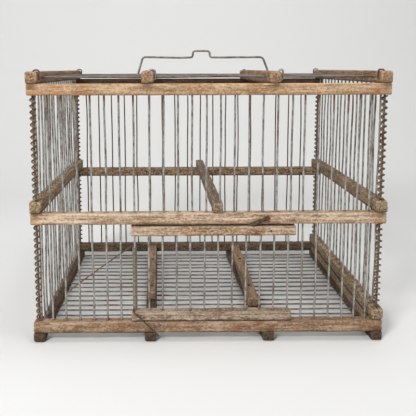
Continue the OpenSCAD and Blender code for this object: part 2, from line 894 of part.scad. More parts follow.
// Points of the coil from its top down, ending at the left of the hinge wire
coil_path = [for (i = [0 : round(coil_turns * curl_rings)])
    let (n = round(coil_turns * curl_rings), a = 180 - (n - i) * 360 / curl_rings)
    [hinge_x + coil_r * cos(a), -wall_y + coil_r * sin(a), coil_z1 - coil_l * i / n]];

// Points of the lower leg: forward over the door's rail, round a bend, then down across it
leg_x = hinge_x - coil_r;
leg_way = [cos(lower_leg_slope), 0, -sin(lower_leg_slope)];
bend_at = [leg_x, leg_y, coil_z0];
lower_leg_path = concat(
    [[leg_x, -wall_y - spring_wire_d, coil_z0]],
    [for (t = [0 : 0.25 : 1])
        pow(1 - t, 2) * (bend_at + [0, leg_bend, 0]) + 2 * t * (1 - t) * bend_at
        + t * t * (bend_at + leg_bend * leg_way)],
    [bend_at + (lower_leg_l - spring_wire_d) * leg_way, bend_at + lower_leg_l * leg_way]);

spring_path = concat(coil_path, lower_leg_path);

// Least gap between one turn of the coil and the next
coil_gap = min([for (i = [0 : len(coil_path) - 1], j = [i + curl_rings / 2 : i + 2 * curl_rings])
    j < len(coil_path) ? norm(coil_path[i] - coil_path[j]) - spring_wire_d : 100]);
echo(least_gap_of_the_coil_to_itself = coil_gap);

// Six-sided tube swept along points that never run straight up
module swept_tube(path, d) {
    n = len(path);
    function way(i) = let (v = path[min(i + 1, n - 1)] - path[max(i - 1, 0)]) v / norm(v);
    function ring(i) =
        let (t = way(i), c = cross(t, [0, 0, 1]), a = c / norm(c), b = cross(a, t))
        [for (j = [0 : tube_sides - 1]) let (q = j * 360 / tube_sides)
            path[i] + d / 2 * (cos(q) * a + sin(q) * b)];
    points = [for (i = [0 : n - 1]) each ring(i)];
    ends = [[for (j = [tube_sides - 1 : -1 : 0]) j],
            [for (j = [0 : tube_sides - 1]) (n - 1) * tube_sides + j]];
    walls = [for (i = [0 : n - 2], j = [0 : tube_sides - 1])
        let (a = i * tube_sides + j, b = i * tube_sides + (j + 1) % tube_sides)
        each [[a, b, a + tube_sides], [b, b + tube_sides, a + tube_sides]]];
    polyhedron(points, concat(ends, walls));
}

module door_spring() {
    color("darkkhaki") swept_tube(spring_path, spring_wire_d);
}

// Straight leg at the coil's top, lying behind the wires left of the door
module spring_upper_leg() {
    x = hinge_x - coil_r - spring_wire_d - slide_gap;
    y = -wall_y + wire_d / 2 + spring_wire_d / 2;
    color("darkkhaki") translate([x, y, coil_z1]) rotate([0, -90 - upper_leg_slope, 0])
        cylinder(h = upper_leg_l, d = spring_wire_d, $fn = round_fn);
}

// ---- Latch ----

module latch_button() {
    color("dimgray") translate([latch_x, latch_y + latch_t, latch_z]) rotate([90, -latch_slope, 0])
        linear_extrude(latch_t) difference() {
            union() {
                polygon([[0, latch_w / 2], [-latch_l, latch_tip_w / 2],
                         [-latch_l, -latch_tip_w / 2], [0, -latch_w / 2]]);
                translate([0, -latch_w / 2]) square([latch_heel, latch_w]);
            }
            circle(d = latch_nail_d + 2 * latch_fit, $fn = round_fn);
        }
}

module latch_nail_shank(fit = 0) {
    translate([latch_x, front_y + latch_nail_bite, latch_z]) rotate([90, 0, 0])
        cylinder(h = latch_nail_bite + slide_gap + latch_t + slide_gap, d = latch_nail_d + 2 * fit,
                 $fn = round_fn);
}

module latch_nail() {
    color("saddlebrown") {
        latch_nail_shank();
        translate([latch_x, latch_y - slide_gap, latch_z]) rotate([90, 0, 0])
            cylinder(h = nail_head_t, d = nail_head_d, $fn = round_fn);
    }
}

// ---- Perch ----

// Stick that slides up and down on one front wire and one back wire
module perch() {
    lean = (perch_mid_back - perch_mid_front) / (2 * wall_y);
    x0 = perch_mid_front + lean * (perch_front_y + wall_y);
    x1 = perch_mid_back + lean * (perch_back_y - wall_y);
    z0 = side_bar_z - nudge;
    z1 = side_bar_z + perch_h + nudge;
    color("tan") difference() {
        leaning_bar(x0, perch_front_y, x1, perch_back_y, side_bar_z, perch_w, perch_h);
        upright(perch_front_x, -wall_y, z0, z1, wire_d + 2 * perch_fit);
        upright(perch_back_x, wall_y, z0, z1, back_wire_d + 2 * perch_fit);
    }
}

// ---- Handle ----

// Eye round the roof wire, standing square to it
module handle_eye(x) {
    translate([x, handle_y, roof_wire_z]) rotate([0, 90, 0])
        rotate_extrude($fn = round_fn) translate([eye_r, 0]) circle(d = eye_wire_d, $fn = round_fn);
}

module handle() {
    foot = [handle_span / 2, roof_wire_z + eye_r];
    top = [handle_bar_l / 2, roof_wire_z + handle_rise];
    base = [grip_w / 2, top[1]];
    grip = [grip_w / 2 - grip_slope_w, top[1] + grip_rise];
    right = [grip, base, top, foot];
    left = [for (p = [foot, top, base, grip]) [-p[0], p[1]]];
    bends = [shoulder_bend, grip_bend, grip_bend, grip_bend, grip_bend, shoulder_bend];
    color("silver") {
        upright_wire(concat(left, right), handle_y, bends, handle_d);
        for (s = [-1, 1]) handle_eye(s * handle_span / 2);
    }
}

top_rail_front();
top_rail_back();
middle_rail_front();
middle_rail_back();
bottom_rail_front();
bottom_rail_back();
roof_bar_left();
roof_bar_inner_left();
roof_bar_inner_right();
roof_bar_right();
side_bar_left();
side_bar_right();
base_bar_right();
filler_bar_right();
floor_bar_left();
floor_bar_inner_left();
floor_bar_inner_right();
floor_bar_right();
floor_batten_left();
floor_batten_right();
corner_post_front_left();
corner_post_front_right();
corner_post_back_left();
corner_post_back_right();
post_ends();
front_wires_left();
front_wires_upper();
front_wires_right();
hinge_wire();
back_wires();
side_wires_left();
side_wires_right();
roof_wires();
floor_wires();
roof_nails();
floor_nails();
batten_nails();
door_top_rail();
door_bottom_rail();
door_wires();
door_spring();
spring_upper_leg();
latch_button();
latch_nail();
perch();
handle();
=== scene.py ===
# %% [markdown]
# # A canary breeding cage, dressed in Blender
# The cage is made of square wooden bars and straight wires that pass through holes in
# them. Its exact solids come in as a fixed frame. Each one is then remade here as the
# old, handled thing it is: worn bars, wandering wires, wound posts and a coil spring.

import math

import bmesh
import bpy
import numpy as np
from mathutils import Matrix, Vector, noise


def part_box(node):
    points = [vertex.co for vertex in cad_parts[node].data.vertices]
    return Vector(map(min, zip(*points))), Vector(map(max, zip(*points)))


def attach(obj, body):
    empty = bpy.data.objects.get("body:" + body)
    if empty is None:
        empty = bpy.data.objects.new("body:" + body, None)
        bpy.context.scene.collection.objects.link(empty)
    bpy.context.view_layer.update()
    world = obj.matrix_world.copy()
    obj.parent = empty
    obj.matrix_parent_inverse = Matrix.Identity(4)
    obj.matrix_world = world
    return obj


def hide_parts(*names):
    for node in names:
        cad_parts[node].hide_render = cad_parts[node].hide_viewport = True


MM = 0.001

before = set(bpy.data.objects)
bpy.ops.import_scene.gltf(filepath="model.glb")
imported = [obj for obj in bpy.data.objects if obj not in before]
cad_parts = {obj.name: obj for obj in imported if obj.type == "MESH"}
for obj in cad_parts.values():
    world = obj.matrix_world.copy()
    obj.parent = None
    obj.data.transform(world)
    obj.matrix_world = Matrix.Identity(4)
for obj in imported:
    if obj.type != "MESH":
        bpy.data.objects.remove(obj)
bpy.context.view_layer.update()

# %% [markdown]
# ## The camera
# The photograph looks a little down on the cage from the front, from left of its middle.
# The upright wires stay almost upright in it, so the lens was shifted or the picture was
# cropped. The camera could be tilted further down to frame the cage, but then the wires
# would lean. A lens shift gives the same framing without that.

# %% Camera
def new_object(name, data):
    """An object of a camera, a lamp or a mesh, in the scene."""
    thing = bpy.data.objects.new(name, data)
    bpy.context.scene.collection.objects.link(thing)
    return thing


def make_camera():
    look_down, roll, turn = 6.64, 0.13, -0.54
    data = bpy.data.cameras.new("front_camera")
    data.sensor_width = 36.0
    data.lens = 47.37
    data.shift_x = 0.0717
    data.shift_y = -0.1838
    cam = new_object("front_camera", data)
    cam.location = (-0.0396, -0.7421, 0.3129)
    cam.rotation_euler = [math.radians(a) for a in (90 - look_down, roll, turn)]
    bpy.context.scene.camera = cam
    print("camera", tuple(round(v, 4) for v in cam.location), "lens", data.lens)


make_camera()

# %% [markdown]
# ## The floor and the light
# The cage stands on nothing in particular, so it gets a plain pale floor. A flat floor
# would end in a line behind the cage. This one curves up into a wall, which gives one
# even background. Soft lamps from the front left and from above model the round wires
# with a bright line and a dark edge, as in the photograph. A weak one from the right
# keeps the shadows open, and all stay low enough for colours to look as written.

# %% Floor and backdrop
def smooth_mesh(name, verts, faces):
    mesh = bpy.data.meshes.new(name)
    mesh.from_pydata(verts, [], faces)
    for face in mesh.polygons:
        face.use_smooth = True
    return mesh


def pale_floor():
    half_width, front, curve_y, curve_r, wall_top = 2.6, -4.0, 0.55, 0.5, 2.4
    profile = [(front, 0.0)]
    profile += [(curve_y + curve_r * math.sin(a), curve_r - curve_r * math.cos(a))
                for a in np.linspace(0, math.pi / 2, 13)]
    profile.append((curve_y + curve_r, wall_top))
    verts = [(x, y, z) for y, z in profile for x in (-half_width, half_width)]
    faces = [(2 * i, 2 * i + 1, 2 * i + 3, 2 * i + 2) for i in range(len(profile) - 1)]
    paint = bpy.data.materials.new("pale_paper")
    paint.use_nodes = True
    shader = paint.node_tree.nodes["Principled BSDF"]
    shader.inputs["Base Color"].default_value = (0.8, 0.8, 0.79, 1)
    shader.inputs["Roughness"].default_value = 0.9
    floor = new_object("pale_floor", smooth_mesh("pale_floor", verts, faces))
    floor.data.materials.append(paint)
    print("floor faces:", len(faces))


pale_floor()

# %% Lamps and world
def soft_lamp(name, place, aim, size, watts):
    data = bpy.data.lights.new(name, "AREA")
    data.shape = "SQUARE"
    data.size = size
    data.energy = watts
    lamp = new_object(name, data)
    lamp.location = place
    lamp.rotation_euler = (Vector(aim) - Vector(place)).to_track_quat("-Z", "Y").to_euler()
    print(name, watts, "watts")


def light_the_stage():
    soft_lamp("key_lamp", (-0.9, -1.5, 1.3), aim=(0, 0, 0.15), size=0.5, watts=31)
    soft_lamp("top_lamp", (0.3, -0.2, 1.7), aim=(0, 0, 0.1), size=0.8, watts=11)
    soft_lamp("fill_lamp", (1.5, -1.1, 0.7), aim=(0, 0, 0.15), size=1.0, watts=3)
    world = bpy.data.worlds.new("studio")
    world.use_nodes = True
    back = world.node_tree.nodes["Background"]
    back.inputs["Color"].default_value = (1, 1, 1, 1)
    back.inputs["Strength"].default_value = 0.24
    bpy.context.scene.world = world
    bpy.context.scene.view_settings.view_transform = "Standard"


light_the_stage()

# %% [markdown]
# ## Meshes by rings
# Bars, wires, strands and springs are all long things with one section. They could be
# curves with a bevel, but such a curve carries no values for its finish. So one helper
# joins rings of points into a closed skin and lays values on its points. The wood and
# wire finishes read them: where the grain runs, where edges are worn, where rust has
# bled and where the end grain shows.

# %% Skin helpers
def lay_values(mesh, key, data):
    """Lays a number or a vector on each point, under a name that the finishes read."""
    data = np.asarray(data, float)
    wide = data.size == 3 * len(mesh.vertices)
    layer = mesh.attributes.new(key, "FLOAT_VECTOR" if wide else "FLOAT", "POINT")
    layer.data.foreach_set("vector" if wide else "value", data.ravel())


def skin(name, rings, values):
    """Joins rings of equal length into a closed mesh. Values are lists, one per point."""
    count = len(rings[0])
    last = (len(rings) - 1) * count
    faces = []
    for start in range(0, last, count):
        for j in range(count):
            k = (j + 1) % count
            faces.append((start + j, start + k, start + count + k, start + count + j))
    faces.append(tuple(range(count - 1, -1, -1)))
    faces.append(tuple(last + j for j in range(count)))
    mesh = smooth_mesh(name, [point for ring in rings for point in ring], faces)
    for key, data in values.items():
        lay_values(mesh, key, data)
    return mesh


def join_meshes(meshes):
    """One mesh of several, with their per-point values kept."""
    verts, faces, layers = [], [], {}
    for mesh in meshes:
        start = len(verts)
        verts += [v.co[:] for v in mesh.vertices]
        faces += [tuple(start + i for i in f.vertices) for f in mesh.polygons]
        for layer in mesh.attributes:
            if layer.domain == "POINT" and layer.name != "position":
                wide = layer.data_type == "FLOAT_VECTOR"
                data = np.zeros(len(mesh.vertices) * (3 if wide else 1))
                layer.data.foreach_get("vector" if wide else "value", data)
                layers.setdefault(layer.name, []).append(data)
    made = smooth_mesh(meshes[0].name, verts, faces)
    for key, parts in layers.items():
        lay_values(made, key, np.concatenate(parts))
    for mesh in meshes:
        bpy.data.meshes.remove(mesh)
    return made


# %% Noise and placing
finishes = {}


def wave(*place, size=1.0, seed=0.0):
    """Smooth noise from -1 to 1 that changes over the given size, another for each seed."""
    x, y, z = (list(place) + [0.0, 0.0])[:3]
    return noise.noise(Vector((x / size + seed * 7.31, y / size - seed * 3.17, z / size + seed)))


def put(mesh, node, finish, body="cage"):
    """Shows a mesh, in place of its CAD node if it has one, on its body."""
    mesh.materials.append(finishes[finish])
    thing = new_object(mesh.name, mesh)
    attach(thing, body)
    if node:
        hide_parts(node)
    print(thing.name, "on", body, "with", len(mesh.polygons), "faces of", finish)


# %% [markdown]
# ## Node helpers
# The finishes are built from a few kinds of node each. Wiring every socket by hand takes
# pages, so a small class keeps it short. It makes a noise that is stretched along the
# grain, turns it into colours or into a mask, and lays one colour over another.

# %% Node helpers
class Finish:
    """A material under construction. Its colour is built up in layers."""

    def __init__(self, name):
        self.material = bpy.data.materials.new(name)
        self.material.use_nodes = True
        self.tree = self.material.node_tree
        self.shader = self.tree.nodes["Principled BSDF"]
        self.grain = self.values("grain", "Vector")
        self.colour = None

    def feed(self, socket, value):
        """Gives a socket its value, or links it to another node's output."""
        if isinstance(value, bpy.types.NodeSocket):
            self.tree.links.new(value, socket)
        else:
            socket.default_value = value

    def node(self, kind, **inputs):
        """A new node with some inputs fed. From_Min stands for the input From Min."""
        node = self.tree.nodes.new("ShaderNode" + kind)
        for name, value in inputs.items():
            self.feed(node.inputs[name.replace("_", " ")], value)
        return node

    def values(self, key, output="Fac"):
        """The values that lie on the mesh's points under a name."""
        node = self.node("Attribute")
        node.attribute_name = key
        return node.outputs[output]

    def stretch(self, along, across):
        """Places on the piece, scaled along its grain and across it."""
        node = self.node("Mapping", Vector=self.grain, Scale=(along, across, across))
        return node.outputs["Vector"]

    def noise(self, along, across, detail=4.0, rough=0.55, warp=0.0):
        """Noise with so many waves in a metre along the grain, and across it."""
        place = self.stretch(along, across)
        node = self.node("TexNoise", Vector=place, Scale=1.0, Detail=detail, Roughness=rough,
                         Distortion=warp)
        return node.outputs["Fac"]

    def cells(self, along, across):
        node = self.node("TexVoronoi", Vector=self.stretch(along, across), Scale=1.0)
        return node.outputs["Distance"]

    def ramp(self, factor, stops):
        node = self.node("ValToRGB", Fac=factor)
        elements = node.color_ramp.elements
        while len(elements) < len(stops):
            elements.new(0.5)
        for element, (place, colour) in zip(elements, stops):
            element.position = place
            element.color = (*colour, 1)
        return node.outputs["Color"]

    def mask(self, factor, start, full, share=1.0):
        """0 where the factor is at start, and smoothly up to share where it is at full."""
        node = self.node("MapRange", Value=factor, From_Min=start, From_Max=full, To_Max=share)
        node.interpolation_type = "SMOOTHSTEP"
        return node.outputs["Result"]

    def math(self, kind, *values):
        node = self.node("Math")
        node.operation = kind
        for socket, value in zip(node.inputs, values):
            self.feed(socket, value)
        return node.outputs["Value"]

    def times(self, a, b):
        return self.math("MULTIPLY", a, b)

    def lay(self, share, colour):
        """Lays a colour over what is there, as strongly as the share says."""
        node = self.node("Mix")
        node.data_type = "RGBA"
        sockets = {socket.identifier: socket for socket in (*node.inputs, *node.outputs)}
        self.feed(sockets["Factor_Float"], share)
        self.feed(sockets["A_Color"], self.colour)
        self.feed(sockets["B_Color"], (*colour, 1) if isinstance(colour, tuple) else colour)
        self.colour = sockets["Result_Color"]

    def finish(self, rough, height, strength, depth):
        """Feeds the shader with the colour, a roughness and bumps of some depth."""
        bump = self.node("Bump", Strength=strength, Distance=depth, Height=height)
        self.feed(self.shader.inputs["Base Color"], self.colour)
        self.feed(self.shader.inputs["Roughness"], rough)
        self.feed(self.shader.inputs["Normal"], bump.outputs["Normal"])
        return self.material


# %% Colour helpers
def srgb(colour):
    """A colour as read off a screen, in the linear values that the shader wants.

    This is the screen standard's own curve, straight near black.
    """
    return tuple((c / 255 / 12.92) if c / 255 <= 0.04045 else ((c / 255 + 0.055) / 1.055) ** 2.4
                 for c in colour)


def tinted(colour, gains):
    return tuple(min(1.0, c * gain) for c, gain in zip(colour, gains))


def shade(colour, gain):
    return tinted(colour, (gain, gain, gain))


RUST_BLOOM = srgb((164, 100, 48))
RUST_STAIN = srgb((104, 62, 30))

# %% [markdown]
# ## Weathered wood
# Each bar is bare softwood that has been handled, rained on and perched on for decades.
# A picture of old wood could be wrapped round it, but it would show a seam and repeat.
# Noise in the solid wood does neither. Broad patches, streaks along the grain, veins and
# flecks of a millimetre come first, then cracks and pits, then what hands and rust have
# done, and painted shade under the bars and in the gaps where they meet. Each stage is a
# short function that lays its colours over the last one's.
# A noise's values lie about 0.5, so masks that start there cover half of the wood.

# %% Grain and weather
def lay_grain(f, pale, mid, dark, bite):
    """Fine streaks, and long veins that are faint where the weather has bitten hard."""
    streak = f.noise(38.0, 560.0, 5.0, 0.64, 0.1)
    vein = f.noise(8.0, 330.0, 3.0, 0.6)
    f.colour = f.ramp(streak, [(0.36, dark), (0.48, mid), (0.61, pale)])
    f.lay(f.mask(vein, 0.51, 0.60, 1.5 - 1.3 * bite), shade(pale, 1.25))
    f.lay(f.mask(vein, 0.47, 0.40, 1.3 - 1.2 * bite), shade(dark, 0.9))
    return streak


def lay_weather(f, pale, dark, patch, patches, bite):
    """Broad patches, then flecks and specks of a millimetre or two, pale and dark."""
    broad = f.noise(26.0, 60.0, 4.0, 0.66)
    fleck = f.noise(230.0, 760.0, 5.0, 0.74)
    speck = f.noise(360.0, 430.0, 3.0, 0.7)
    f.lay(f.mask(broad, 0.57 - 0.15 * patches, 0.65 - 0.12 * patches, 0.75), patch)
    f.lay(f.mask(broad, 0.45, 0.34, 0.6), shade(pale, 1.16))
    f.lay(f.mask(fleck, 0.54, 0.64, 0.65 * bite), shade(pale, 1.3))
    f.lay(f.mask(fleck, 0.46, 0.36, 0.85 * bite), shade(dark, 0.5))
    f.lay(f.mask(speck, 0.54, 0.62, 0.75 * bite), shade(pale, 1.35))
    f.lay(f.mask(speck, 0.46, 0.38, 0.75 * bite), shade(dark, 0.7))
    return fleck


# %% Cracks, pits and end grain
def lay_cracks(f, dark, pits):
    """Thin splits along the grain, and pits where patches of the wood have rotted."""
    split = f.noise(11.0, 330.0, 2.0, 0.5)
    line = f.mask(f.math("ABSOLUTE", f.math("SUBTRACT", split, 0.5)), 0.012, 0.003)
    crack = f.times(line, f.mask(f.noise(30.0, 120.0, 2.0), 0.50, 0.58))
    f.lay(f.times(crack, 0.8), shade(dark, 0.35))
    hole = f.mask(f.cells(300.0, 520.0), 0.26, 0.14)
    pit = f.times(hole, f.mask(f.noise(110.0, 260.0, 2.0), 0.47, 0.62, pits))
    f.lay(pit, shade(dark, 0.3))
    return pit, crack


def lay_ends(f, pale, mid, dark):
    """Coarse end grain, with a pale rim where the corners have been knocked."""
    coarse = f.noise(900.0, 480.0, 5.0, 0.72)
    end_grain = f.ramp(coarse, [(0.38, shade(dark, 0.5)), (0.48, mid), (0.58, shade(pale, 1.1))])
    f.lay(f.times(f.values("end"), 0.85), end_grain)
    rim = f.times(f.values("rim"), f.mask(coarse, 0.38, 0.52))
    f.lay(f.times(rim, 0.75), shade(pale, 1.3))


# %% Handling, rust and painted shade
def lay_handling(f, pale, dark, rust):
    """Blooms of rust, corners rubbed pale, and painted shade that darkens the underside."""
    f.lay(f.mask(f.noise(150.0, 300.0, 3.0, 0.6), 0.63, 0.72, rust), RUST_BLOOM)
    f.lay(f.times(f.values("wear"), 0.55), shade(pale, 1.25))
    ragged = f.mask(f.noise(160.0, 260.0, 3.0), 0.30, 0.50)
    # Painted shade: dark brown under each bar, with a ragged edge.
    f.lay(f.times(f.values("under"), ragged), tinted(dark, (0.55, 0.40, 0.30)))


def lay_stains(f, mid, dark):
    """A warm tinge, rust that has bled from the wires, and painted shade where bars meet."""
    tinge = f.mask(f.noise(130.0, 260.0, 4.0, 0.65), 0.40, 0.58)
    f.lay(f.times(f.values("warm"), tinge), tinted(mid, (0.98, 0.66, 0.40)))
    bleed = f.mask(f.noise(620.0, 620.0, 3.0), 0.36, 0.56)
    f.lay(f.times(f.values("stain"), bleed), RUST_STAIN)
    # Painted shade: near-black in the gaps where bars meet.
    f.lay(f.values("grime"), shade(dark, 0.25))


# %% Wood finish
def wood_finish(name, pale, mid, dark, patch, patches, pits, rust, bite):
    f = Finish(name)
    pale, mid, dark, patch = srgb(pale), srgb(mid), srgb(dark), srgb(patch)
    streak = lay_grain(f, pale, mid, dark, bite)
    fleck = lay_weather(f, pale, dark, patch, patches, bite)
    pit, crack = lay_cracks(f, dark, pits)
    lay_handling(f, pale, dark, rust)
    lay_ends(f, pale, mid, dark)
    lay_stains(f, mid, dark)
    raised = f.math("ADD", f.times(streak, 0.9), f.times(fleck, 0.8))
    sunk = f.math("ADD", f.times(pit, 1.2), crack)
    return f.finish(rough=0.88, height=f.math("SUBTRACT", raised, sunk), strength=0.8,
                    depth=0.6 * MM)


# Pale, middle, dark and patch colours, then how much there is of patches, pits, rust and bite.
WOODS = {
    "rail_wood": ((192, 163, 131), (176, 145, 111), (140, 107, 76), (160, 116, 76),
                  0.4, 0.2, 0.5, 0.65),
    "middle_wood": ((204, 182, 158), (178, 152, 125), (126, 97, 71), (150, 118, 88),
                    0.5, 0.3, 0.5, 0.65),
    "foot_rail_wood": ((172, 147, 122), (146, 117, 90), (104, 77, 54), (126, 86, 54),
                       0.6, 0.7, 0.7, 0.72),
    "roof_bar_wood": ((168, 138, 108), (136, 106, 79), (80, 56, 38), (116, 80, 48),
                      0.5, 0.7, 0.5, 1.0),
    # The back rails' woods are darkened as painted shade: the top one is nearly all painted
    # shade, the other two part wood colour and part painted shade.
    "back_top_wood_in_painted_shade": ((84, 62, 42), (54, 38, 24), (30, 20, 12), (74, 44, 20),
                       0.5, 0.6, 0.6, 0.9),
    "side_wood": ((170, 148, 119), (122, 102, 77), (62, 48, 32), (130, 98, 61),
                  0.5, 0.9, 0.6, 1.0),
    "back_middle_wood_in_painted_shade": ((172, 146, 116), (116, 92, 68), (44, 31, 20), (146, 122, 94),
                  0.5, 1.0, 0.4, 1.1),
    "back_bottom_wood_in_painted_shade": ((122, 102, 82), (90, 72, 56), (48, 36, 26), (102, 76, 50),
                       0.5, 0.9, 0.5, 1.0),
    "foot_wood": ((98, 77, 58), (62, 46, 34), (28, 20, 13), (84, 54, 30), 0.5, 0.8, 0.5, 1.0),
    "door_wood": ((197, 175, 149), (171, 146, 120), (112, 84, 60), (152, 114, 76),
                  0.4, 0.4, 0.5, 0.8),
    "door_foot_wood": ((176, 158, 138), (145, 124, 104), (98, 76, 58), (124, 96, 70),
                       0.5, 0.6, 0.5, 0.8),
    "perch_wood": ((154, 132, 110), (108, 88, 70), (56, 41, 29), (92, 72, 54),
                   0.5, 1.0, 0.4, 1.0),
    "batten_wood": ((160, 135, 108), (126, 100, 75), (78, 57, 39), (134, 102, 68),
                    0.5, 0.7, 0.5, 0.9),
    "latch_iron": ((96, 78, 60), (40, 30, 21), (12, 9, 6), (50, 33, 19), 0.5, 0.8, 0.25, 0.8),
}
for wood, recipe in WOODS.items():
    finishes[wood] = wood_finish(wood, *recipe)
print("wood finishes:", ", ".join(WOODS))

# %% [markdown]
# ## Old wire
# The wires were galvanised. The zinc has gone dull grey with whiter bloom, and rust
# shows through in specks and short lengths. Two materials with a mask between them would
# do, but the metal is so dull that one shader with mixed colours looks the same. The
# posts, the back wires and the spring are further gone. The recipe serves them all, with
# other colours and more rust, and a second colour for what is wound round another wire.

# %% Wire finish
def wire_finish(name, bright, dull, rust, rust_share, metal=0.35, rough=0.45, wound=None):
    f = Finish(name)
    bright, dull, rust = srgb(bright), srgb(dull), srgb(rust)
    bloom = f.noise(150.0, 420.0, 4.0, 0.62)
    lengths = f.noise(30.0, 60.0, 3.0, 0.55)
    speck = f.noise(460.0, 900.0, 4.0, 0.68)
    grey, pale = shade(bright, 0.85), shade(bright, 1.1)
    f.colour = f.ramp(bloom, [(0.36, dull), (0.50, grey), (0.60, pale)])
    if wound is not None:
        dark, light = shade(srgb(wound), 0.5), shade(srgb(wound), 1.35)
        f.lay(f.values("tone"), f.ramp(bloom, [(0.36, dark), (0.62, light)]))
    f.lay(f.mask(lengths, 0.54, 0.70, 0.5), shade(dull, 0.65))
    mixed = f.math("ADD", f.times(lengths, 0.4), f.times(speck, 0.6))
    edge = 0.64 - rust_share * 0.22
    rusty = f.mask(f.math("ADD", mixed, f.times(f.values("warm"), 0.3)), edge, edge + 0.05)
    f.lay(f.times(rusty, 0.85), rust)
    f.shader.inputs["Metallic"].default_value = metal
    return f.finish(rough=f.math("ADD", f.times(rusty, 0.35), rough), height=speck,
                    strength=0.5, depth=0.25 * MM)


# Bright, dull and rust colours and how much rust, then metal, roughness and wound colour.
WIRES = {
    "zinc_wire": ((174, 171, 165), (108, 103, 96), (124, 80, 42), 0.42, 0.65, 0.34),
    "roof_wire": ((118, 111, 103), (84, 77, 69), (88, 58, 34), 0.5),
    "floor_wire": ((132, 128, 121), (86, 81, 75), (112, 66, 32), 0.38),
    "back_wire": ((122, 103, 84), (86, 68, 52), (92, 60, 36), 0.7, 0.2, 0.6),
    "post_wire": ((114, 96, 76), (70, 56, 43), (84, 52, 30), 0.55, 0.3, 0.45, (126, 105, 82)),
    "end_wire": ((124, 114, 100), (78, 66, 52), (84, 54, 32), 0.6),
    "spring_wire": ((150, 137, 119), (104, 91, 76), (120, 84, 52), 0.45, 0.25, 0.5,
                    (88, 68, 50)),
    "handle_wire": ((146, 141, 134), (92, 86, 79), (112, 72, 42), 0.42),
    "pin_iron": ((44, 36, 30), (20, 16, 13), (60, 40, 26), 0.4, 0.3, 0.4),
    "rust_iron": ((78, 60, 46), (48, 37, 28), (112, 68, 34), 0.75, 0.15, 0.75),
}
for wire, recipe in WIRES.items():
    finishes[wire] = wire_finish(wire, *recipe)
print("wire finishes:", ", ".join(WIRES))

# %% [markdown]
# ## Worn bars
# A new bar is a plain box with rounded edges, and a bevel modifier would make one. These
# have been worn unevenly, so a bar is a row of rings along its length. Each ring is a
# rectangle whose corners round more or less as they go along, with chips where the noise
# runs high. The faces sink along the grain, and the ends are rounded over. Wood only
# goes inwards, so the bars never run into each other.

# %% Bar section
CORNER_POINTS = 4
SIDE_POINTS = 5
CORNERS = ((1, 1, 0), (-1, 1, 90), (-1, -1, 180), (1, -1, 270))


def bar_ring(width, height, radii):
    """Points of a rectangle with rounded corners, each with how near it is to a corner."""
    arcs = []
    for (side, top, turn), r in zip(CORNERS, radii):
        u, v = side * (width / 2 - r), top * (height / 2 - r)
        angles = [math.radians(turn + 90 * s / (CORNER_POINTS - 1)) for s in range(CORNER_POINTS)]
        arcs.append([(u + r * math.cos(a), v + r * math.sin(a)) for a in angles])
    shares = [s / (SIDE_POINTS + 1) for s in range(1, SIDE_POINTS + 1)]
    points = []
    for arc, next_arc in zip(arcs, arcs[1:] + arcs[:1]):
        (u, v), (next_u, next_v) = arc[-1], next_arc[0]
        points += arc + [(u + (next_u - u) * t, v + (next_v - v) * t) for t in shares]
    return points, 4 * ([1.0] * CORNER_POINTS + [0.35] + [0.0] * (SIDE_POINTS - 2) + [0.35])


# %% A bar and its corners
class Bar:
    """A bar from start to stop, its width level and its height along Z, and its wear.

    wear and end_wear are about 1. Its corners are soft millimetres round, and end_soft
    rounder near its ends. Its underside is pressed in by seat.
    """

    def __init__(self, start, stop, width, height, seed, wear=1.0, end_wear=1.0, soft=0.8,
                 end_soft=0.0, seat=0.0):
        self.start = Vector(start)
        self.way = (Vector(stop) - self.start).normalized()
        self.length = (Vector(stop) - self.start).length
        self.width, self.height = width, height
        self.seed, self.wear, self.end_wear = seed, wear, end_wear
        self.soft, self.end_soft, self.seat = soft, end_soft, seat
        self.reach = 2.0 * MM * end_wear

    def to_end(self, place):
        return min(place, self.length - place)


def corner_radii(bar, place):
    """How round the four corners are at a place along the bar. Chips make them rounder."""
    end_reach, least, most = 25 * MM, 0.35 * MM, 0.3 * min(bar.width, bar.height)
    rounder = bar.end_soft * math.exp(-bar.to_end(place) / end_reach)
    radii = []
    for c in range(4):
        slow = wave(place, c * 0.37, size=0.04, seed=bar.seed + c)
        chip = max(0.0, wave(place, c, size=0.0075, seed=bar.seed + 11 + c) - 0.22)
        r = (bar.soft + rounder + 0.5 * slow * bar.wear + 3.4 * chip * bar.wear) * MM
        radii.append(min(max(r, least), most))
    return radii


# %% Faces and ends
def hollows(bar, place):
    """How far its two sides, and its top and underside, have worn at a place along it."""
    sides = 0.22 * MM * bar.wear * (1 + wave(place, size=0.06, seed=bar.seed + 31))
    level = 0.11 * MM * bar.wear * (1 + wave(place, size=0.06, seed=bar.seed + 47))
    return sides, level


def sunk(bar, place, u, v, hollow):
    """Where a point of the section goes as the wood sinks.

    The depths are millimetres: broad dips, then grooves along the grain, then small pits.
    """
    dip = 0.10 + 0.16 * wave(place, u * 4, v * 4, size=0.02, seed=bar.seed + 3) * bar.wear
    dip += 0.13 * wave(place * 0.14, u, v, size=0.0020, seed=bar.seed + 5)
    dip += 0.10 * wave(place, u, v, size=0.0026, seed=bar.seed + 7) * bar.wear
    dip = max(0.0, dip) * MM
    in_u = min(abs(u), dip + hollow[0] * abs(u) * 2 / bar.width)
    in_v = min(abs(v), dip + hollow[1] * abs(v) * 2 / bar.height)
    return u - math.copysign(in_u, u), v - math.copysign(in_v, v)


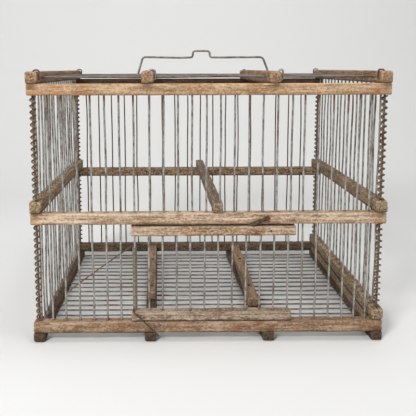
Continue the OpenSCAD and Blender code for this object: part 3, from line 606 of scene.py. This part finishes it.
def ring_plan(bar, step=1.7 * MM):
    """Each ring's place along the bar, its size, and how far it is end grain, 0 to 1."""
    def size_at(d):
        """The end is rounded over as a quarter of an ellipse is, d from the end."""
        if d >= bar.reach:
            return 1.0
        depth = 1 - math.sqrt(max(0.0, 1 - (1 - d / bar.reach) ** 2))
        return 1 - depth * 1.25 * MM * bar.end_wear / (min(bar.width, bar.height) / 2)

    def end_grain_at(d):
        return max(0.0, 1.0 - d / (0.5 * bar.reach))

    lead = [bar.reach * t for t in (0.0, 0.12, 0.35, 0.65)]
    steps = max(8, int(bar.length / step))
    places = lead + list(np.linspace(bar.reach, bar.length - bar.reach, steps))
    places += [bar.length - d for d in reversed(lead)]
    plan = [(0.0, s * size_at(0), 1.0) for s in (0.2, 0.4, 0.6, 0.8)]
    plan += [(place, size_at(bar.to_end(place)), end_grain_at(bar.to_end(place)))
             for place in places]
    return plan + [(bar.length, s * size_at(0), 1.0) for s in (0.8, 0.6, 0.4, 0.2)]


# %% Marks of wear
def near(points, spots):
    """How strongly each point is marked by the spots: x, y, z, reach. None is any value."""
    mark = np.zeros(len(points))
    for spot in spots:
        far = sum((points[:, i] - spot[i]) ** 2 for i in range(3) if spot[i] is not None)
        mark = np.maximum(mark, np.exp(-far / spot[3] ** 2))
    return mark


def rubbed(bar, place, u, v, nearness):
    """Corners are rubbed pale here and there, those underneath much less."""
    rub = max(0.0, 0.25 + wave(place, u, v, size=0.018, seed=bar.seed + 23))
    return nearness * min(1.0, rub) * (0.3 if v < 0 else 1.0)


def painted_under_shade(bar, place, v):
    """Painted shade: the lowest part of the sides and the underside are darkened."""
    low = min(1.0, max(0.0, (-v / (bar.height / 2) - 0.62) / 0.26))
    return low * (0.7 + 0.3 * wave(place, size=0.02, seed=bar.seed + 29))


def knocked(bar, place, v, size):
    """The rim of each end, most of all above."""
    past = (bar.to_end(place) - 0.2 * bar.reach) / (0.4 * bar.reach)
    return math.exp(-past ** 2) * (size > 0.7) * (1.0 if v > 0 else 0.6)


# %% Worn bar
def worn_bar(name, start, stop, width, height, seed, stains=(), grimes=(), warms=(), **wear):
    """The mesh of a worn bar, with the marks that its finish needs laid on its points.

    The seed also moves its grain far off, so that no two bars show the same wood.
    """
    bar = Bar(start, stop, width, height, seed, **wear)
    across = Vector((0, 1, 0)) if abs(bar.way.x) > abs(bar.way.y) else Vector((-1, 0, 0))
    up = Vector((0, 0, 1))
    rings, rows = [], []
    for place, size, end in ring_plan(bar):
        points, nearness = bar_ring(width, height, corner_radii(bar, place))
        hollow = hollows(bar, place)
        ring = []
        for (u, v), close in zip(points, nearness):
            pu, pv = (p * size for p in sunk(bar, place, u, v, hollow))
            if bar.seat and v < -0.4 * height:
                pv = v * size - bar.seat
            push = (0.3 + 0.35 * wave(pu, pv, size=0.0028, seed=seed + 17)) * MM if end else 0.0
            along = place + (push if place < bar.length / 2 else -push)
            ring.append(bar.start + bar.way * along + across * pu + up * pv)
            rows.append((along + seed * 0.731, pu + seed * 0.173, pv + seed * 0.311,
                         rubbed(bar, place, u, v, close), end, painted_under_shade(bar, place, v),
                         knocked(bar, place, v, size)))
        rings.append(ring)
    rows = np.array(rows)
    flat = np.array([p[:] for ring in rings for p in ring])
    # Painted shade goes on the points near the gap spots, where bars meet.
    return skin(name, rings, {
        "grain": rows[:, :3], "wear": rows[:, 3], "end": rows[:, 4], "under": rows[:, 5],
        "rim": rows[:, 6], "stain": near(flat, stains) * 0.85,
        "grime": near(flat, grimes) * 0.75, "warm": near(flat, warms) * 0.8})


# %% [markdown]
# ## Reading the solids
# Every piece takes its place and size from the solid that it stands for, so nothing is
# typed twice. A bar is read from its box or its end faces. The wires of one side are one
# node, so their mesh is taken apart into islands of joined points, one for each wire.

# %% Places of bars and wires
WIRE_R = 1.15 * MM


def ends_of(node):
    """Middle of a crossbar's front and back ends, and its width and height."""
    co = np.array([v.co[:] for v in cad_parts[node].data.vertices])
    low, high = co.min(0), co.max(0)
    faces = [co[np.abs(co[:, 1] - y) < 0.01 * MM] for y in (low[1], high[1])]
    (left, right), (back_left, back_right) = [(f[:, 0].min(), f[:, 0].max()) for f in faces]
    middle = (low[2] + high[2]) / 2
    return (((left + right) / 2, low[1], middle), ((back_left + back_right) / 2, high[1], middle),
            right - left, high[2] - low[2])


def wires_of(*nodes):
    """Low and high corner of each separate wire of some nodes, from the left."""
    found = []
    for node in nodes:
        solid = bmesh.new()
        solid.from_mesh(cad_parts[node].data)
        bmesh.ops.remove_doubles(solid, verts=solid.verts, dist=0.001 * MM)
        unseen = set(solid.verts)
        while unseen:
            reached = [unseen.pop()]
            for vert in reached:
                joined = {edge.other_vert(vert) for edge in vert.link_edges} & unseen
                unseen -= joined
                reached += joined
            co = np.array([vert.co[:] for vert in reached])
            found.append((co.min(0), co.max(0)))
        solid.free()
    return sorted(found, key=lambda wire: tuple(np.round((wire[0] + wire[1]) / 2, 4)))


front_full = wires_of("front_wires_left", "front_wires_right", "hinge_wire")
front_upper = wires_of("front_wires_upper")
door_rods = wires_of("door_wires")
back_rods = wires_of("back_wires")
side_left_rods = wires_of("side_wires_left")
side_right_rods = wires_of("side_wires_right")
roof_rods = wires_of("roof_wires")
print("wires:", len(front_full), len(front_upper), len(door_rods), len(back_rods),
      len(side_left_rods), len(side_right_rods), len(roof_rods))

# %% [markdown]
# ## The rails
# Six rails, all the same stick of wood, lie at three heights at the front and the back.
# They could share one mesh, but then all would be worn in the same places. Each gets its
# own seed, and its own spots. Rust marks sit where wires come out of the wood, painted
# shade where crossbars lie on it, and a warm tinge where the photograph has one.

# %% Marks on a bar
ROOF_BARS = ["roof_bar_left", "roof_bar_inner_left", "roof_bar_inner_right", "roof_bar_right"]
SIDE_BARS = ["side_bar_left", "side_bar_right"]
FLOOR_BARS = ["floor_bar_left", "floor_bar_inner_left", "floor_bar_inner_right",
              "floor_bar_right"]


def rust_round(rods, z):
    """Rust on a rail round upright wires, at one height."""
    return [(low[0] + WIRE_R, (low[1] + high[1]) / 2, z, 2.0 * MM) for low, high in rods]


def rust_across(rods, z):
    """Rust on a crossbar beside the wires that it holds."""
    return [(None, (low[1] + high[1]) / 2, z, 2.2 * MM) for low, high in rods]


def gap_shade_at(bars, z, reach):
    """Painted shade on a rail where crossbars meet its front."""
    return [(ends_of(bar)[0][0], None, z, reach) for bar in bars]


# %% Front rails
def along_x(node, finish, seed, slot_name="frame_wood", body="cage", **more):
    """A rail, as long and as thick as its solid."""
    low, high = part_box(node)
    middle, size = (low + high) / 2, high - low
    mesh = worn_bar(node + "_worn", (low.x, middle.y, middle.z), (high.x, middle.y, middle.z),
                    size.y, size.z, seed, **more)
    put(mesh, node, finish, body)


def build_front_rails():
    # Each rail gets painted shade where the crossbars meet it.
    low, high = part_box("top_rail_front")
    rusty_spot = (0.184, low.y, low.z + 4 * MM)
    along_x("top_rail_front", "rail_wood", 1.0,
            stains=rust_round(front_full + front_upper, low.z)
            + [(*rusty_spot, 3 * MM), (-0.012, low.y, low.z + 3.5 * MM, 2.2 * MM)],
            grimes=gap_shade_at(ROOF_BARS, high.z, 6 * MM),
            warms=[(low.x, None, low.z, 18 * MM), (high.x, None, high.z, 7 * MM),
                   (-0.16, None, low.z, 15 * MM), (-0.14, None, low.z, 10 * MM),
                   (*rusty_spot, 6 * MM)])
    low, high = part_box("middle_rail_front")
    along_x("middle_rail_front", "middle_wood", 2.0,
            stains=rust_round(front_full + front_upper, high.z) + rust_round(front_full, low.z)
            + [(0.0655, low.y, 0.1455, 5 * MM), (0.1, low.y, 0.149, 2.5 * MM)],
            grimes=gap_shade_at(SIDE_BARS, high.z, 5 * MM),
            warms=[(low.x, None, low.z, 16 * MM), (high.x, None, low.z, 12 * MM)])
    low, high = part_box("bottom_rail_front")
    along_x("bottom_rail_front", "foot_rail_wood", 3.0, wear=1.3,
            stains=rust_round(front_full, high.z), grimes=gap_shade_at(FLOOR_BARS, low.z, 6 * MM),
            warms=[(low.x, None, None, 9 * MM), (-0.13, low.y, low.z, 8 * MM),
                   (-0.04, low.y, low.z, 8 * MM), (0.03, low.y, low.z, 9 * MM),
                   (0.1, low.y, low.z, 7 * MM), (high.x, None, low.z, 12 * MM)])


build_front_rails()

# %% Back rails
def build_back_rails():
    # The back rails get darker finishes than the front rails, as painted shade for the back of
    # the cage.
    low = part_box("top_rail_back")[0]
    along_x("top_rail_back", "back_top_wood_in_painted_shade", 4.0, stains=rust_round(back_rods, low.z))
    low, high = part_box("middle_rail_back")
    along_x("middle_rail_back", "back_middle_wood_in_painted_shade", 5.0, wear=1.3,
            stains=rust_round(back_rods, high.z) + rust_round(back_rods, low.z))
    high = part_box("bottom_rail_back")[1]
    along_x("bottom_rail_back", "back_bottom_wood_in_painted_shade", 6.0, wear=1.3,
            stains=rust_round(back_rods, high.z))


build_back_rails()

# %% [markdown]
# ## The crossbars
# The crossbars run front to back, and the inner ones lie a little askew. Their ends show
# in the photograph as squares of brown, cracked end grain. They are the rails' recipe
# turned round, so one more small function is enough. The roof bars and side bars are
# pressed a little into the rails, or light would show between the worn faces.

# %% Roof bars and side bars
PRESSED = 0.35 * MM


def along_y(node, finish, seed, slot_name, body="cage", warms=(), ahead=0.0, wider=0.0, **more):
    """A crossbar. It reaches ahead of its solid and is wider, where the solid falls short."""
    front, back, width, height = ends_of(node)
    front = (front[0], front[1] - ahead, front[2])
    width += wider
    rim = [(front[0] + s * width / 2, front[1], front[2] + t * height / 2, 4 * MM)
           for s, t in ((-1, 1), (-1, -1), (1, -1))]
    mesh = worn_bar(node + "_worn", front, back, width, height, seed, warms=rim + list(warms),
                    **more)
    put(mesh, node, finish, body)


def build_upper_crossbars():
    # Each crossbar gets painted shade along the front of its underside, where it sits on the
    # rail.
    roof_rust = rust_across(roof_rods, roof_rods[0][0][2])
    for i, node in enumerate(ROOF_BARS):
        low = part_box(node)[0]
        along_y(node, "roof_bar_wood", 10.0 + i, "frame_wood", stains=roof_rust, wear=1.2,
                end_wear=1.4, soft=1.2, end_soft=1.5, seat=PRESSED,
                grimes=[(None, low.y, low.z, 1.6 * MM)])
    for i, node in enumerate(SIDE_BARS):
        low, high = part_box(node)
        rust = rust_across(side_left_rods, high.z) + rust_across(side_left_rods, low.z)
        along_y(node, "side_wood", 20.0 + i, "frame_wood", stains=rust, wear=1.3,
                end_wear=1.3, soft=1.1, end_soft=0.3, seat=PRESSED,
                grimes=[(None, low.y, low.z, 1.6 * MM)], warms=[(None, None, low.z, 3 * MM)])


build_upper_crossbars()

# %% Floor bars and battens
def build_lower_crossbars():
    low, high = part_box("base_bar_right")
    # Painted shade at the height of the base bar's underside, in the groove between it and the
    # filler.
    groove_shade = [(None, None, low.z, 1.5 * MM)]
    along_y("base_bar_right", "side_wood", 23.0, "dark_wood", wear=1.4, end_wear=1.4,
            soft=1.6, stains=rust_across(side_right_rods, high.z), grimes=groove_shade)
    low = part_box("filler_bar_right")[0]
    along_y("filler_bar_right", "side_wood", 24.0, "dark_wood", grimes=groove_shade,
            warms=[(low.x, None, low.z, 5 * MM)])
    for i, node in enumerate(FLOOR_BARS):
        along_y(node, "foot_wood", 30.0 + i, "dark_wood", wear=1.6, end_wear=1.8, soft=1.9)
    along_y("floor_batten_left", "batten_wood", 40.0, "dark_wood", ahead=1.5 * MM,
            wear=1.6, end_wear=1.6, soft=1.3)
    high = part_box("floor_batten_right")[1]
    along_y("floor_batten_right", "batten_wood", 41.0, "dark_wood", ahead=10 * MM,
            wider=3 * MM, wear=1.8, end_wear=1.6, soft=1.3,
            warms=[(high.x + MM, None, high.z, 2.5 * MM)])


build_lower_crossbars()

# %% [markdown]
# ## The wires
# No wire of the real cage is quite straight. A cylinder from hole to hole would look like
# a machine's work. So each wire follows a path that leaves its hole true, wanders less
# than a millimetre on the way and comes back to its hole at the far end. Its thickness
# swells a little where the zinc has run.

# %% Wire shape
def tube(name, path, r, seed, sides=10, swell=0.04, **values):
    """Round wire along a path, its rings kept square to it without twisting.

    The seed moves its grain far off, as in a bar. Values are the same all over it.
    """
    path = [Vector(p) for p in path]
    ahead, behind = path[1:] + path[-1:], path[:1] + path[:-1]
    turns = [2 * math.pi * j / sides for j in range(sides)]
    side = (ahead[0] - behind[0]).normalized().orthogonal().normalized()
    rings, grain, run = [], [], 0.0
    for here, before, after in zip(path, behind, ahead):
        way = (after - before).normalized()
        side = (side - way * side.dot(way)).normalized()
        other = way.cross(side)
        run += (here - before).length
        fat = 1 + swell * wave(run, size=0.012, seed=seed)
        rings.append([here + (side * math.cos(q) + other * math.sin(q)) * r * fat for q in turns])
        grain += [(run + seed * 0.917, math.cos(q) * r + seed * 0.377,
                   math.sin(q) * r + seed * 0.533) for q in turns]
    count = len(path) * sides
    return skin(name, rings, {"grain": grain, **{k: [v] * count for k, v in values.items()}})


def wandering(a, b, seed, bend, step=7 * MM):
    """A path from a to b that strays by about the bend in between."""
    a, b = Vector(a), Vector(b)
    way = (b - a).normalized()
    u = way.orthogonal().normalized()
    v = way.cross(u)
    length = (b - a).length
    count = int(length / step)
    points = []
    for i in range(count + 1):
        t = i / count
        free = min(1.0, 12 * t * (1 - t))  # 0 in both holes, 1 in between
        off_u, off_v = (bend * free * wave(t * length, size=0.075, seed=seed + other)
                        for other in (0, 53))
        points.append(a + (b - a) * t + u * off_u * 1.6 + v * off_v * 1.6)
    return points


# %% Straight wires
def straight_wires(node, finish, seed, bend, r=WIRE_R, body="cage", rusty=()):
    """The straight wires of one node. Rusty is a list of x, y, z, reach."""
    meshes = []
    for i, (low, high) in enumerate(wires_of(node)):
        axis = int(np.argmax(high - low))
        a, b = (low + high) / 2, (low + high) / 2
        a[axis], b[axis] = low[axis], high[axis]
        path = wandering(a, b, seed + i * 1.37, bend)
        meshes.append(tube(node + "_drawn", path, r, seed + i * 0.71))
    made = join_meshes(meshes)
    if rusty:
        lay_values(made, "warm", near(np.array([v.co[:] for v in made.vertices]), rusty))
    put(made, node, finish, body)


def build_straight_wires():
    under_rail = [(None, None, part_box("top_rail_front")[0].z, 6 * MM)]
    for node, seed in (("front_wires_left", 100.0), ("front_wires_right", 140.0),
                       ("hinge_wire", 160.0)):
        straight_wires(node, "zinc_wire", seed, 0.6 * MM, rusty=under_rail)
    straight_wires("side_wires_left", "zinc_wire", 200.0, 0.9 * MM)
    straight_wires("side_wires_right", "zinc_wire", 230.0, 0.9 * MM)
    straight_wires("back_wires", "back_wire", 260.0, 0.8 * MM, 1.0 * MM)
    straight_wires("roof_wires", "roof_wire", 300.0, 0.6 * MM)
    floor_rust = [(-0.125, -0.045, None, 9 * MM), (-0.118, -0.065, None, 7 * MM),
                  (-0.097, -0.02, None, 6 * MM), (0.082, -0.05, None, 10 * MM),
                  (0.095, -0.062, None, 8 * MM), (-0.055, -0.03, None, 5 * MM),
                  (0.015, -0.075, None, 5 * MM)]
    straight_wires("floor_wires", "floor_wire", 340.0, 0.5 * MM, rusty=floor_rust)
    straight_wires("door_wires", "zinc_wire", 380.0, 0.5 * MM, body="door")


build_straight_wires()

# %% [markdown]
# ## Turned-over ends
# Six wires come up through the roof, turn over and are driven back into the side of the
# crossbar, which ties the roof down. A bent cylinder would kink at its corners. Here the
# path comes first, straight up, round, across, down and in, with a curve at each corner,
# and the wire is drawn along it.

# %% Rounded paths
def rounded(points, radii, steps=6):
    """The path through the points, each inner corner turned on its own radius."""
    points = [Vector(p) for p in points]
    out = [points[0]]
    for before, here, after, radius in zip(points, points[1:], points[2:], radii[1:]):
        back, on = (before - here).normalized(), (after - here).normalized()
        angle = math.acos(max(-1.0, min(1.0, back.dot(on))))
        room = 0.49 * min((before - here).length, (after - here).length)
        cut = min(radius / math.tan(angle / 2), room)
        start, stop = here + back * cut, here + on * cut
        for s in range(steps + 1):
            t = s / steps
            out.append(start * (1 - t) ** 2 + here * 2 * t * (1 - t) + stop * t * t)
    return out + [points[-1]]


def refine(path, step):
    """The same path with points no further apart than the step."""
    out = [path[0]]
    for p, q in zip(path, path[1:]):
        count = max(1, int(math.ceil((q - p).length / step)))
        out += [p + (q - p) * (i / count) for i in range(1, count + 1)]
    return out


# %% Clinched wires and post ends
def turned_end(name, x, out, y, low_z, r, seed):
    """One end: up at x, over in a round arch, down at out and into the crossbar."""
    low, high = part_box("roof_bar_left")
    over, hole_up, gap, spare, widest_arch, deepest = (
        c * MM for c in (1.3, 4.5, 0.3, 0.6, 2.8, 4.0))
    top_z, down_z = high.z + over, low.z + hole_up
    outward = 1 if out > x else -1
    face = out - outward * (gap + r)
    bite = min(deepest, abs(face - x) - r - spare)
    arch = min(abs(out - x) / 2, widest_arch)
    line = [(x, y, low_z), (x, y, top_z), (out, y, top_z), (out, y, down_z),
            (face - outward * bite, y, down_z)]
    points = rounded(line, [0, arch, arch, gap + r, 0], 8)
    return tube(name, refine(points, 7 * MM), r, seed)


def build_upper_wires():
    """The wires over the door. Two of them are turned over the inner crossbars."""
    name, meshes = "front_wires_upper_drawn", []
    roof_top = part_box("roof_bar_left")[1].z
    for i, (low, high) in enumerate(front_upper):
        x, y = low[0] + WIRE_R, (low[1] + high[1]) / 2
        if high[2] > roof_top:
            meshes.append(turned_end(name, x, high[0] - WIRE_R, y, low[2], WIRE_R, 120.0 + i))
        else:
            path = wandering((x, y, low[2]), (x, y, high[2]), 110.0 + i * 1.7, 0.6 * MM)
            meshes.append(tube(name, path, WIRE_R, 130.0 + i))
    put(join_meshes(meshes), "front_wires_upper", "zinc_wire")


def build_post_ends():
    meshes, r = [], 0.9 * MM
    for i, (low, high) in enumerate(wires_of("post_ends")):
        x, out = (low[0] + r, high[0] - r) if low[0] < 0 else (high[0] - r, low[0] + r)
        meshes.append(turned_end("post_ends_bent", x, out, (low[1] + high[1]) / 2, low[2], r,
                                 170.0 + i))
    put(join_meshes(meshes), "post_ends", "end_wire")


build_upper_wires()
build_post_ends()

# %% [markdown]
# ## Wound corner posts
# Each corner is a straight wire with a thinner one wound loosely round it, like a
# stretched spring, between the bars. A screw modifier would make every turn alike. This
# helix is a loop of points, falling to the right as seen from in front, so its spread
# and its spacing can waver a little, as in anything wound by hand.

# %% Corner posts
def winding(centre, part, n, number, wrap_r, turn_steps=16, pitch=6.8 * MM):
    """The path of the thinner wire round one stretch of post n."""
    low, high = part
    spread = (high[1] - low[1]) / 2 / math.cos(math.pi / 6) - wrap_r
    bottom, top = low[2] + wrap_r, high[2] - wrap_r
    steps = round((top - bottom) / pitch) * turn_steps
    path = []
    for i in range(steps + 1):
        z = bottom + (top - bottom) * i / steps
        a = -2 * math.pi * i / turn_steps + 0.5 * wave(z, size=0.03, seed=420 + n)
        r = spread * (1 + 0.07 * wave(z, size=0.012, seed=430 + n + number))
        path.append((centre[0] + r * math.cos(a), centre[1] + r * math.sin(a), z))
    return path


def build_posts():
    wrap_r, fuller = 0.9 * MM, 1.12
    for n, side in enumerate(["front_left", "front_right", "back_left", "back_right"]):
        node = "corner_post_" + side
        core, *windings = sorted(wires_of(node), key=lambda part: part[0][2] - part[1][2])
        low, high = core
        x, y, _ = (low + high) / 2
        path = wandering((x, y, low[2]), (x, y, high[2]), 400.0 + n, 0.25 * MM, 4 * MM)
        meshes = [tube(node + "_wound", path, (high[0] - low[0]) / 2, 410.0 + n, swell=0.07,
                       tone=0.0)]
        for number, part in enumerate(windings):
            path = winding((x, y), part, n, number, wrap_r)
            meshes.append(tube(node + "_wound", path, fuller * wrap_r,
                               440.0 + n * 2 + number, swell=0.08, tone=1.0))
        put(join_meshes(meshes), node, "post_wire")


build_posts()

# %% [markdown]
# ## The door
# The door is a small grille between two rails that turn on the hinge wire. Its rails are
# among the palest wood on the cage, rubbed by hands, and their ends are rounder. They
# are made as the cage's rails are, but ride on the door, so that they swing with it.

# %% Door rails
def build_door():
    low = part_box("door_top_rail")[0]
    along_x("door_top_rail", "door_wood", 51.0, "door_wood", "door", end_wear=1.1,
            stains=rust_round(door_rods, low.z) + [(0.052, low.y, 0.1265, 6 * MM)])
    low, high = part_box("door_bottom_rail")
    along_x("door_bottom_rail", "door_foot_wood", 52.0, "door_wood", "door", end_wear=1.5,
            wear=1.2,
            stains=rust_round(door_rods, high.z) + [(0.093, low.y, low.z + 2 * MM, 4 * MM)])


build_door()

# %% [markdown]
# ## The door's spring
# A coil of thin wire sits round the hinge wire. One end runs out behind the wires at
# the left, the other crosses in front of the door and pushes it shut. A stack of rings
# would pass for a coil from afar, but its turns would close on themselves. This is one
# real helix with its leg. It rides on the door, and the still leg stays with the cage.

# %% Coil and front leg
COIL_WIRE_R, LEG_R = 0.68 * MM, 0.8 * MM


def build_spring():
    coil_r, pitch, turn_steps = 2.05 * MM, 1.65 * MM, 12
    rail_low, rail_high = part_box("door_bottom_rail")
    low, high = wires_of("hinge_wire")[0]
    cx, cy = (low[0] + high[0]) / 2, (low[1] + high[1]) / 2
    top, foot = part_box("door_spring")[1].z - COIL_WIRE_R, rail_high.z + 1.3 * MM
    turns = (top - foot) / pitch
    count = int(turns * turn_steps)
    coil = []
    for i in range(count + 1):
        a = math.pi - (count - i) * 2 * math.pi / turn_steps
        coil.append((cx + coil_r * math.cos(a), cy + coil_r * math.sin(a),
                     top - (top - foot) * i / count))
    leg, slope, front = 41 * MM, math.radians(45), rail_low.y - 1.0 * MM
    x = cx - coil_r
    tip = (x + leg * math.cos(slope), front, foot - leg * math.sin(slope))
    leg_path = refine(rounded([coil[-1], (x, front, foot), tip], [0, 1.6 * MM, 0]), 5 * MM)
    name = "door_spring_wound"
    put(join_meshes([tube(name, coil, COIL_WIRE_R, 500.0, sides=8, tone=0.0),
                     tube(name, leg_path, LEG_R, 505.0, sides=8, tone=1.0)]),
        "door_spring", "spring_wire", "door")
    print("coil turns", round(turns, 1))


build_spring()

# %% Still leg
def build_upper_leg(steps=14):
    """The spring's other leg, bowed a little upwards."""
    low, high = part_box("spring_upper_leg")
    y, in_x, in_z = (low.y + high.y) / 2, COIL_WIRE_R * 0.6, COIL_WIRE_R * 0.8
    a, b = Vector((high.x - in_x, y, high.z - in_z)), Vector((low.x + in_x, y, low.z + in_z))
    path = [a + (b - a) * (i / steps) + Vector((0, 0, 0.5 * MM * math.sin(math.pi * i / steps)))
            for i in range(steps + 1)]
    put(tube("spring_upper_leg_bent", path, LEG_R, 510.0, tone=0.8), "spring_upper_leg",
        "spring_wire")


build_upper_leg()

# %% [markdown]
# ## Perch
# The perch is one more stick, threaded on a front wire and a back wire, and it slides up
# them. Claws have rounded and greyed it. It is a crossbar in shape, so it is made as
# one, with more wear, and it rides on a body of its own.

# %% Perch
along_y("perch", "perch_wood", 60.0, "perch_wood", "perch", wear=1.5, end_wear=1.4)

# %% [markdown]
# ## Handle
# One wire makes the handle: an eye round a roof wire, up, along, over the raised grip
# and down again to the other eye. A curve drawn by hand would need many points. A few
# corner points with a radius each give the same bends, and a slow noise takes the
# straightness out of the wire. The eyes are its ends bent right round.

# %% Handle
def handle_path(left, right, roof_z, eye_top, y):
    """The wire from eye to eye, by corners of x, z and radius. The grip is off centre."""
    bar, grip = roof_z + 24 * MM, roof_z + 32.6 * MM
    corners = [(left, eye_top, 0), (left + 6.6 * MM, bar + 0.6 * MM, 5.5 * MM),
               (-30 * MM, bar - 0.4 * MM, 40 * MM), (-13.2 * MM, bar, 3.6 * MM),
               (-12.6 * MM, grip, 4 * MM), (9.3 * MM, grip, 4 * MM), (10.4 * MM, bar, 3.6 * MM),
               (30 * MM, bar - 0.2 * MM, 40 * MM), (right - 8.6 * MM, bar + 0.6 * MM, 7 * MM),
               (right, eye_top, 0)]
    line, radii = [(x, y, z) for x, z, _ in corners], [r for _, _, r in corners]
    path = refine(rounded(line, radii), 5 * MM)
    for p in path:
        free = min(1.0, max(0.0, (p.z - roof_z - 8 * MM) / (15 * MM)))
        p.z += free * 0.5 * MM * wave(p.x, size=0.05, seed=600)
        p.y += free * 0.6 * MM * wave(p.x, size=0.06, seed=601)
    return path


def build_handle():
    wire_r, eye_wire_r, play = 1.4 * MM, 1.5 * MM, 0.08 * MM
    low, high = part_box("handle")
    y = (low.y + high.y) / 2
    roof_z = (roof_rods[0][0][2] + roof_rods[0][1][2]) / 2
    eye = WIRE_R + play + eye_wire_r
    left, right = low.x + eye_wire_r + 3 * MM, high.x - eye_wire_r
    path = handle_path(left, right, roof_z, roof_z + eye, y)
    meshes = [tube("handle_bent", path, wire_r, 600.0, sides=12)]
    for n, x in enumerate((left, right)):
        ring = [(x, y + eye * math.sin(a), roof_z + eye * math.cos(a))
                for a in np.linspace(0, 2 * math.pi * 0.97, 26)]
        meshes.append(tube("handle_bent", ring, eye_wire_r, 603.0 + n, sides=12))
    put(join_meshes(meshes), "handle", "handle_wire", "handle")


build_handle()

# %% [markdown]
# ## Latch and nails
# The latch is a strip of blackened iron on a nail. Rust has eaten it like rotten wood, so
# the recipe for wood serves it in near-black browns. A bar would be too regular. Its
# rings have a waist, folds that run along it, a heel knocked round and a tip broken off
# at a slant. The nails have hammered, slightly domed heads, which a profile turned round
# an axis gives, dented by noise.

# %% Latch
def latch_ring(t, thick, rings, sides=18, squareness=0.6):
    """The section of the latch at t, 0 at its heel and 1 at its tip.

    Each point has its offsets u and v and how far the slanted tip moves it along.
    """
    waist = 0.9 * math.exp(-((t - 0.36) / 0.10) ** 2)
    w = (4.7 - 0.5 * t - waist) * MM * (1 + 0.16 * wave(t, size=0.09, seed=701))
    d = thick * (1 - 0.2 * t) * (1 + 0.15 * wave(t, size=0.08, seed=702))
    blunt, from_end = 0.5 if t < 0.5 else 0.72, min(t, 1 - t) * (rings - 1)
    w *= min(1.0, blunt + 0.2 * from_end)
    d *= min(1.0, 0.6 + 0.2 * from_end)
    section = []
    for j in range(sides):
        q = 2 * math.pi * j / sides
        fold = 1 - 0.22 * max(0.0, wave(j * 0.9, t * 2, size=1.0, seed=703))
        u, v = (math.copysign(abs(c) ** squareness, c) for c in (math.cos(q), math.sin(q)))
        u, v = u * w / 2 * fold, v * d / 2 * fold
        slant = 1.6 * MM * (u / w) * (t > 0.9)
        section.append((u, v, slant))
    return section


def build_latch(rings=34, heel=3.0 * MM):
    """The latch from heel to tip along the line of its solid, with the nail as pivot."""
    nail_low, nail_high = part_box("latch_nail")
    pivot = (nail_low + nail_high) / 2
    co = np.array([v.co[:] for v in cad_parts["latch_button"].data.vertices])
    low, high = co.min(0), co.max(0)
    tip = co[co[:, 0] < low[0] + 1.5 * MM].mean(0)
    way = Vector((tip[0] - pivot.x, 0, tip[2] - pivot.z)).normalized()
    lift = Vector((-way.z, 0, way.x))
    lift = lift if lift.z > 0 else -lift
    length = heel + (Vector((tip[0], 0, tip[2])) - Vector((pivot.x, 0, pivot.z))).length
    skins, grain = [], []
    for i in range(rings):
        t = i / (rings - 1)
        ring = []
        for u, v, slant in latch_ring(t, high[1] - low[1], rings):
            at = pivot + way * (t * length - heel + slant) + lift * u
            ring.append((at.x, (low[1] + high[1]) / 2 + v, at.z))
            grain.append((t * length, u, v))
        skins.append(ring)
    put(skin("latch_button_rusted", skins, {"grain": grain}), "latch_button",
        "latch_iron", "latch")


build_latch()

# %% Nails
def nail_mesh(name, head_at, way, head_r, head_t, length, seed, shank_r=1.0 * MM):
    """A nail whose head starts at head_at. Its shank runs along way."""
    side = way.orthogonal().normalized()
    other = way.cross(side)
    neck, dome, sides = shank_r / head_r, 0.25 * head_t, 16
    profile = [(-dome, 0.2), (-0.15 * head_t, 0.6), (0.1 * head_t, 0.9), (0.4 * head_t, 1.0),
               (0.9 * head_t, 0.92), (head_t, neck), (length * 0.5, neck), (length, neck * 0.6)]
    rings, grain = [], []
    for i, (along, share) in enumerate(profile):
        ring = []
        for j in range(sides):
            q = 2 * math.pi * j / sides
            dent = 1 + 0.08 * wave(math.cos(q), math.sin(q), i * 0.3, size=0.9, seed=seed)
            r = head_r * share * (dent if along < head_t else 1)
            out = side * math.cos(q) + other * math.sin(q)
            ring.append(head_at + way * (along + dome) + out * min(r, head_r))
            grain.append((along, r * math.cos(q) + seed, r * math.sin(q)))
        rings.append(ring)
    return skin(name, rings, {"grain": grain})


def build_nails(head_t=1.0 * MM):
    """The nails of the roof, the floor, the battens and the latch, one node at a time."""
    for node, way in (("roof_nails", (0, 0, -1)), ("floor_nails", (0, 0, 1)),
                      ("batten_nails", (0, 0, -1)), ("latch_nail", (0, 1, 0))):
        axis = 1 if way[1] else 2
        meshes = []
        for i, (low, high) in enumerate(wires_of(node)):
            start = (Vector(low) + Vector(high)) / 2
            start[axis] = low[axis] if way[axis] > 0 else high[axis]
            size = high - low
            head_r, length = size[(axis + 1) % 3] / 2, size[axis] - head_t * 0.25
            meshes.append(nail_mesh(node + "_forged", start, Vector(way), head_r, head_t,
                                    length, 720.0 + i))
        put(join_meshes(meshes), node, "rust_iron")


def build_pin():
    """The small dark nail in the door's top rail, which has no solid of its own."""
    x, z, proud = 70 * MM, 130.7 * MM, 0.25 * MM
    head_at = Vector((x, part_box("door_top_rail")[0].y - proud, z))
    pin = nail_mesh("door_pin", head_at, Vector((0, 1, 0)), head_r=1.2 * MM, head_t=0.5 * MM,
                    length=4 * MM, seed=760.0, shank_r=0.6 * MM)
    put(pin, None, "pin_iron", "door")


build_nails()
build_pin()
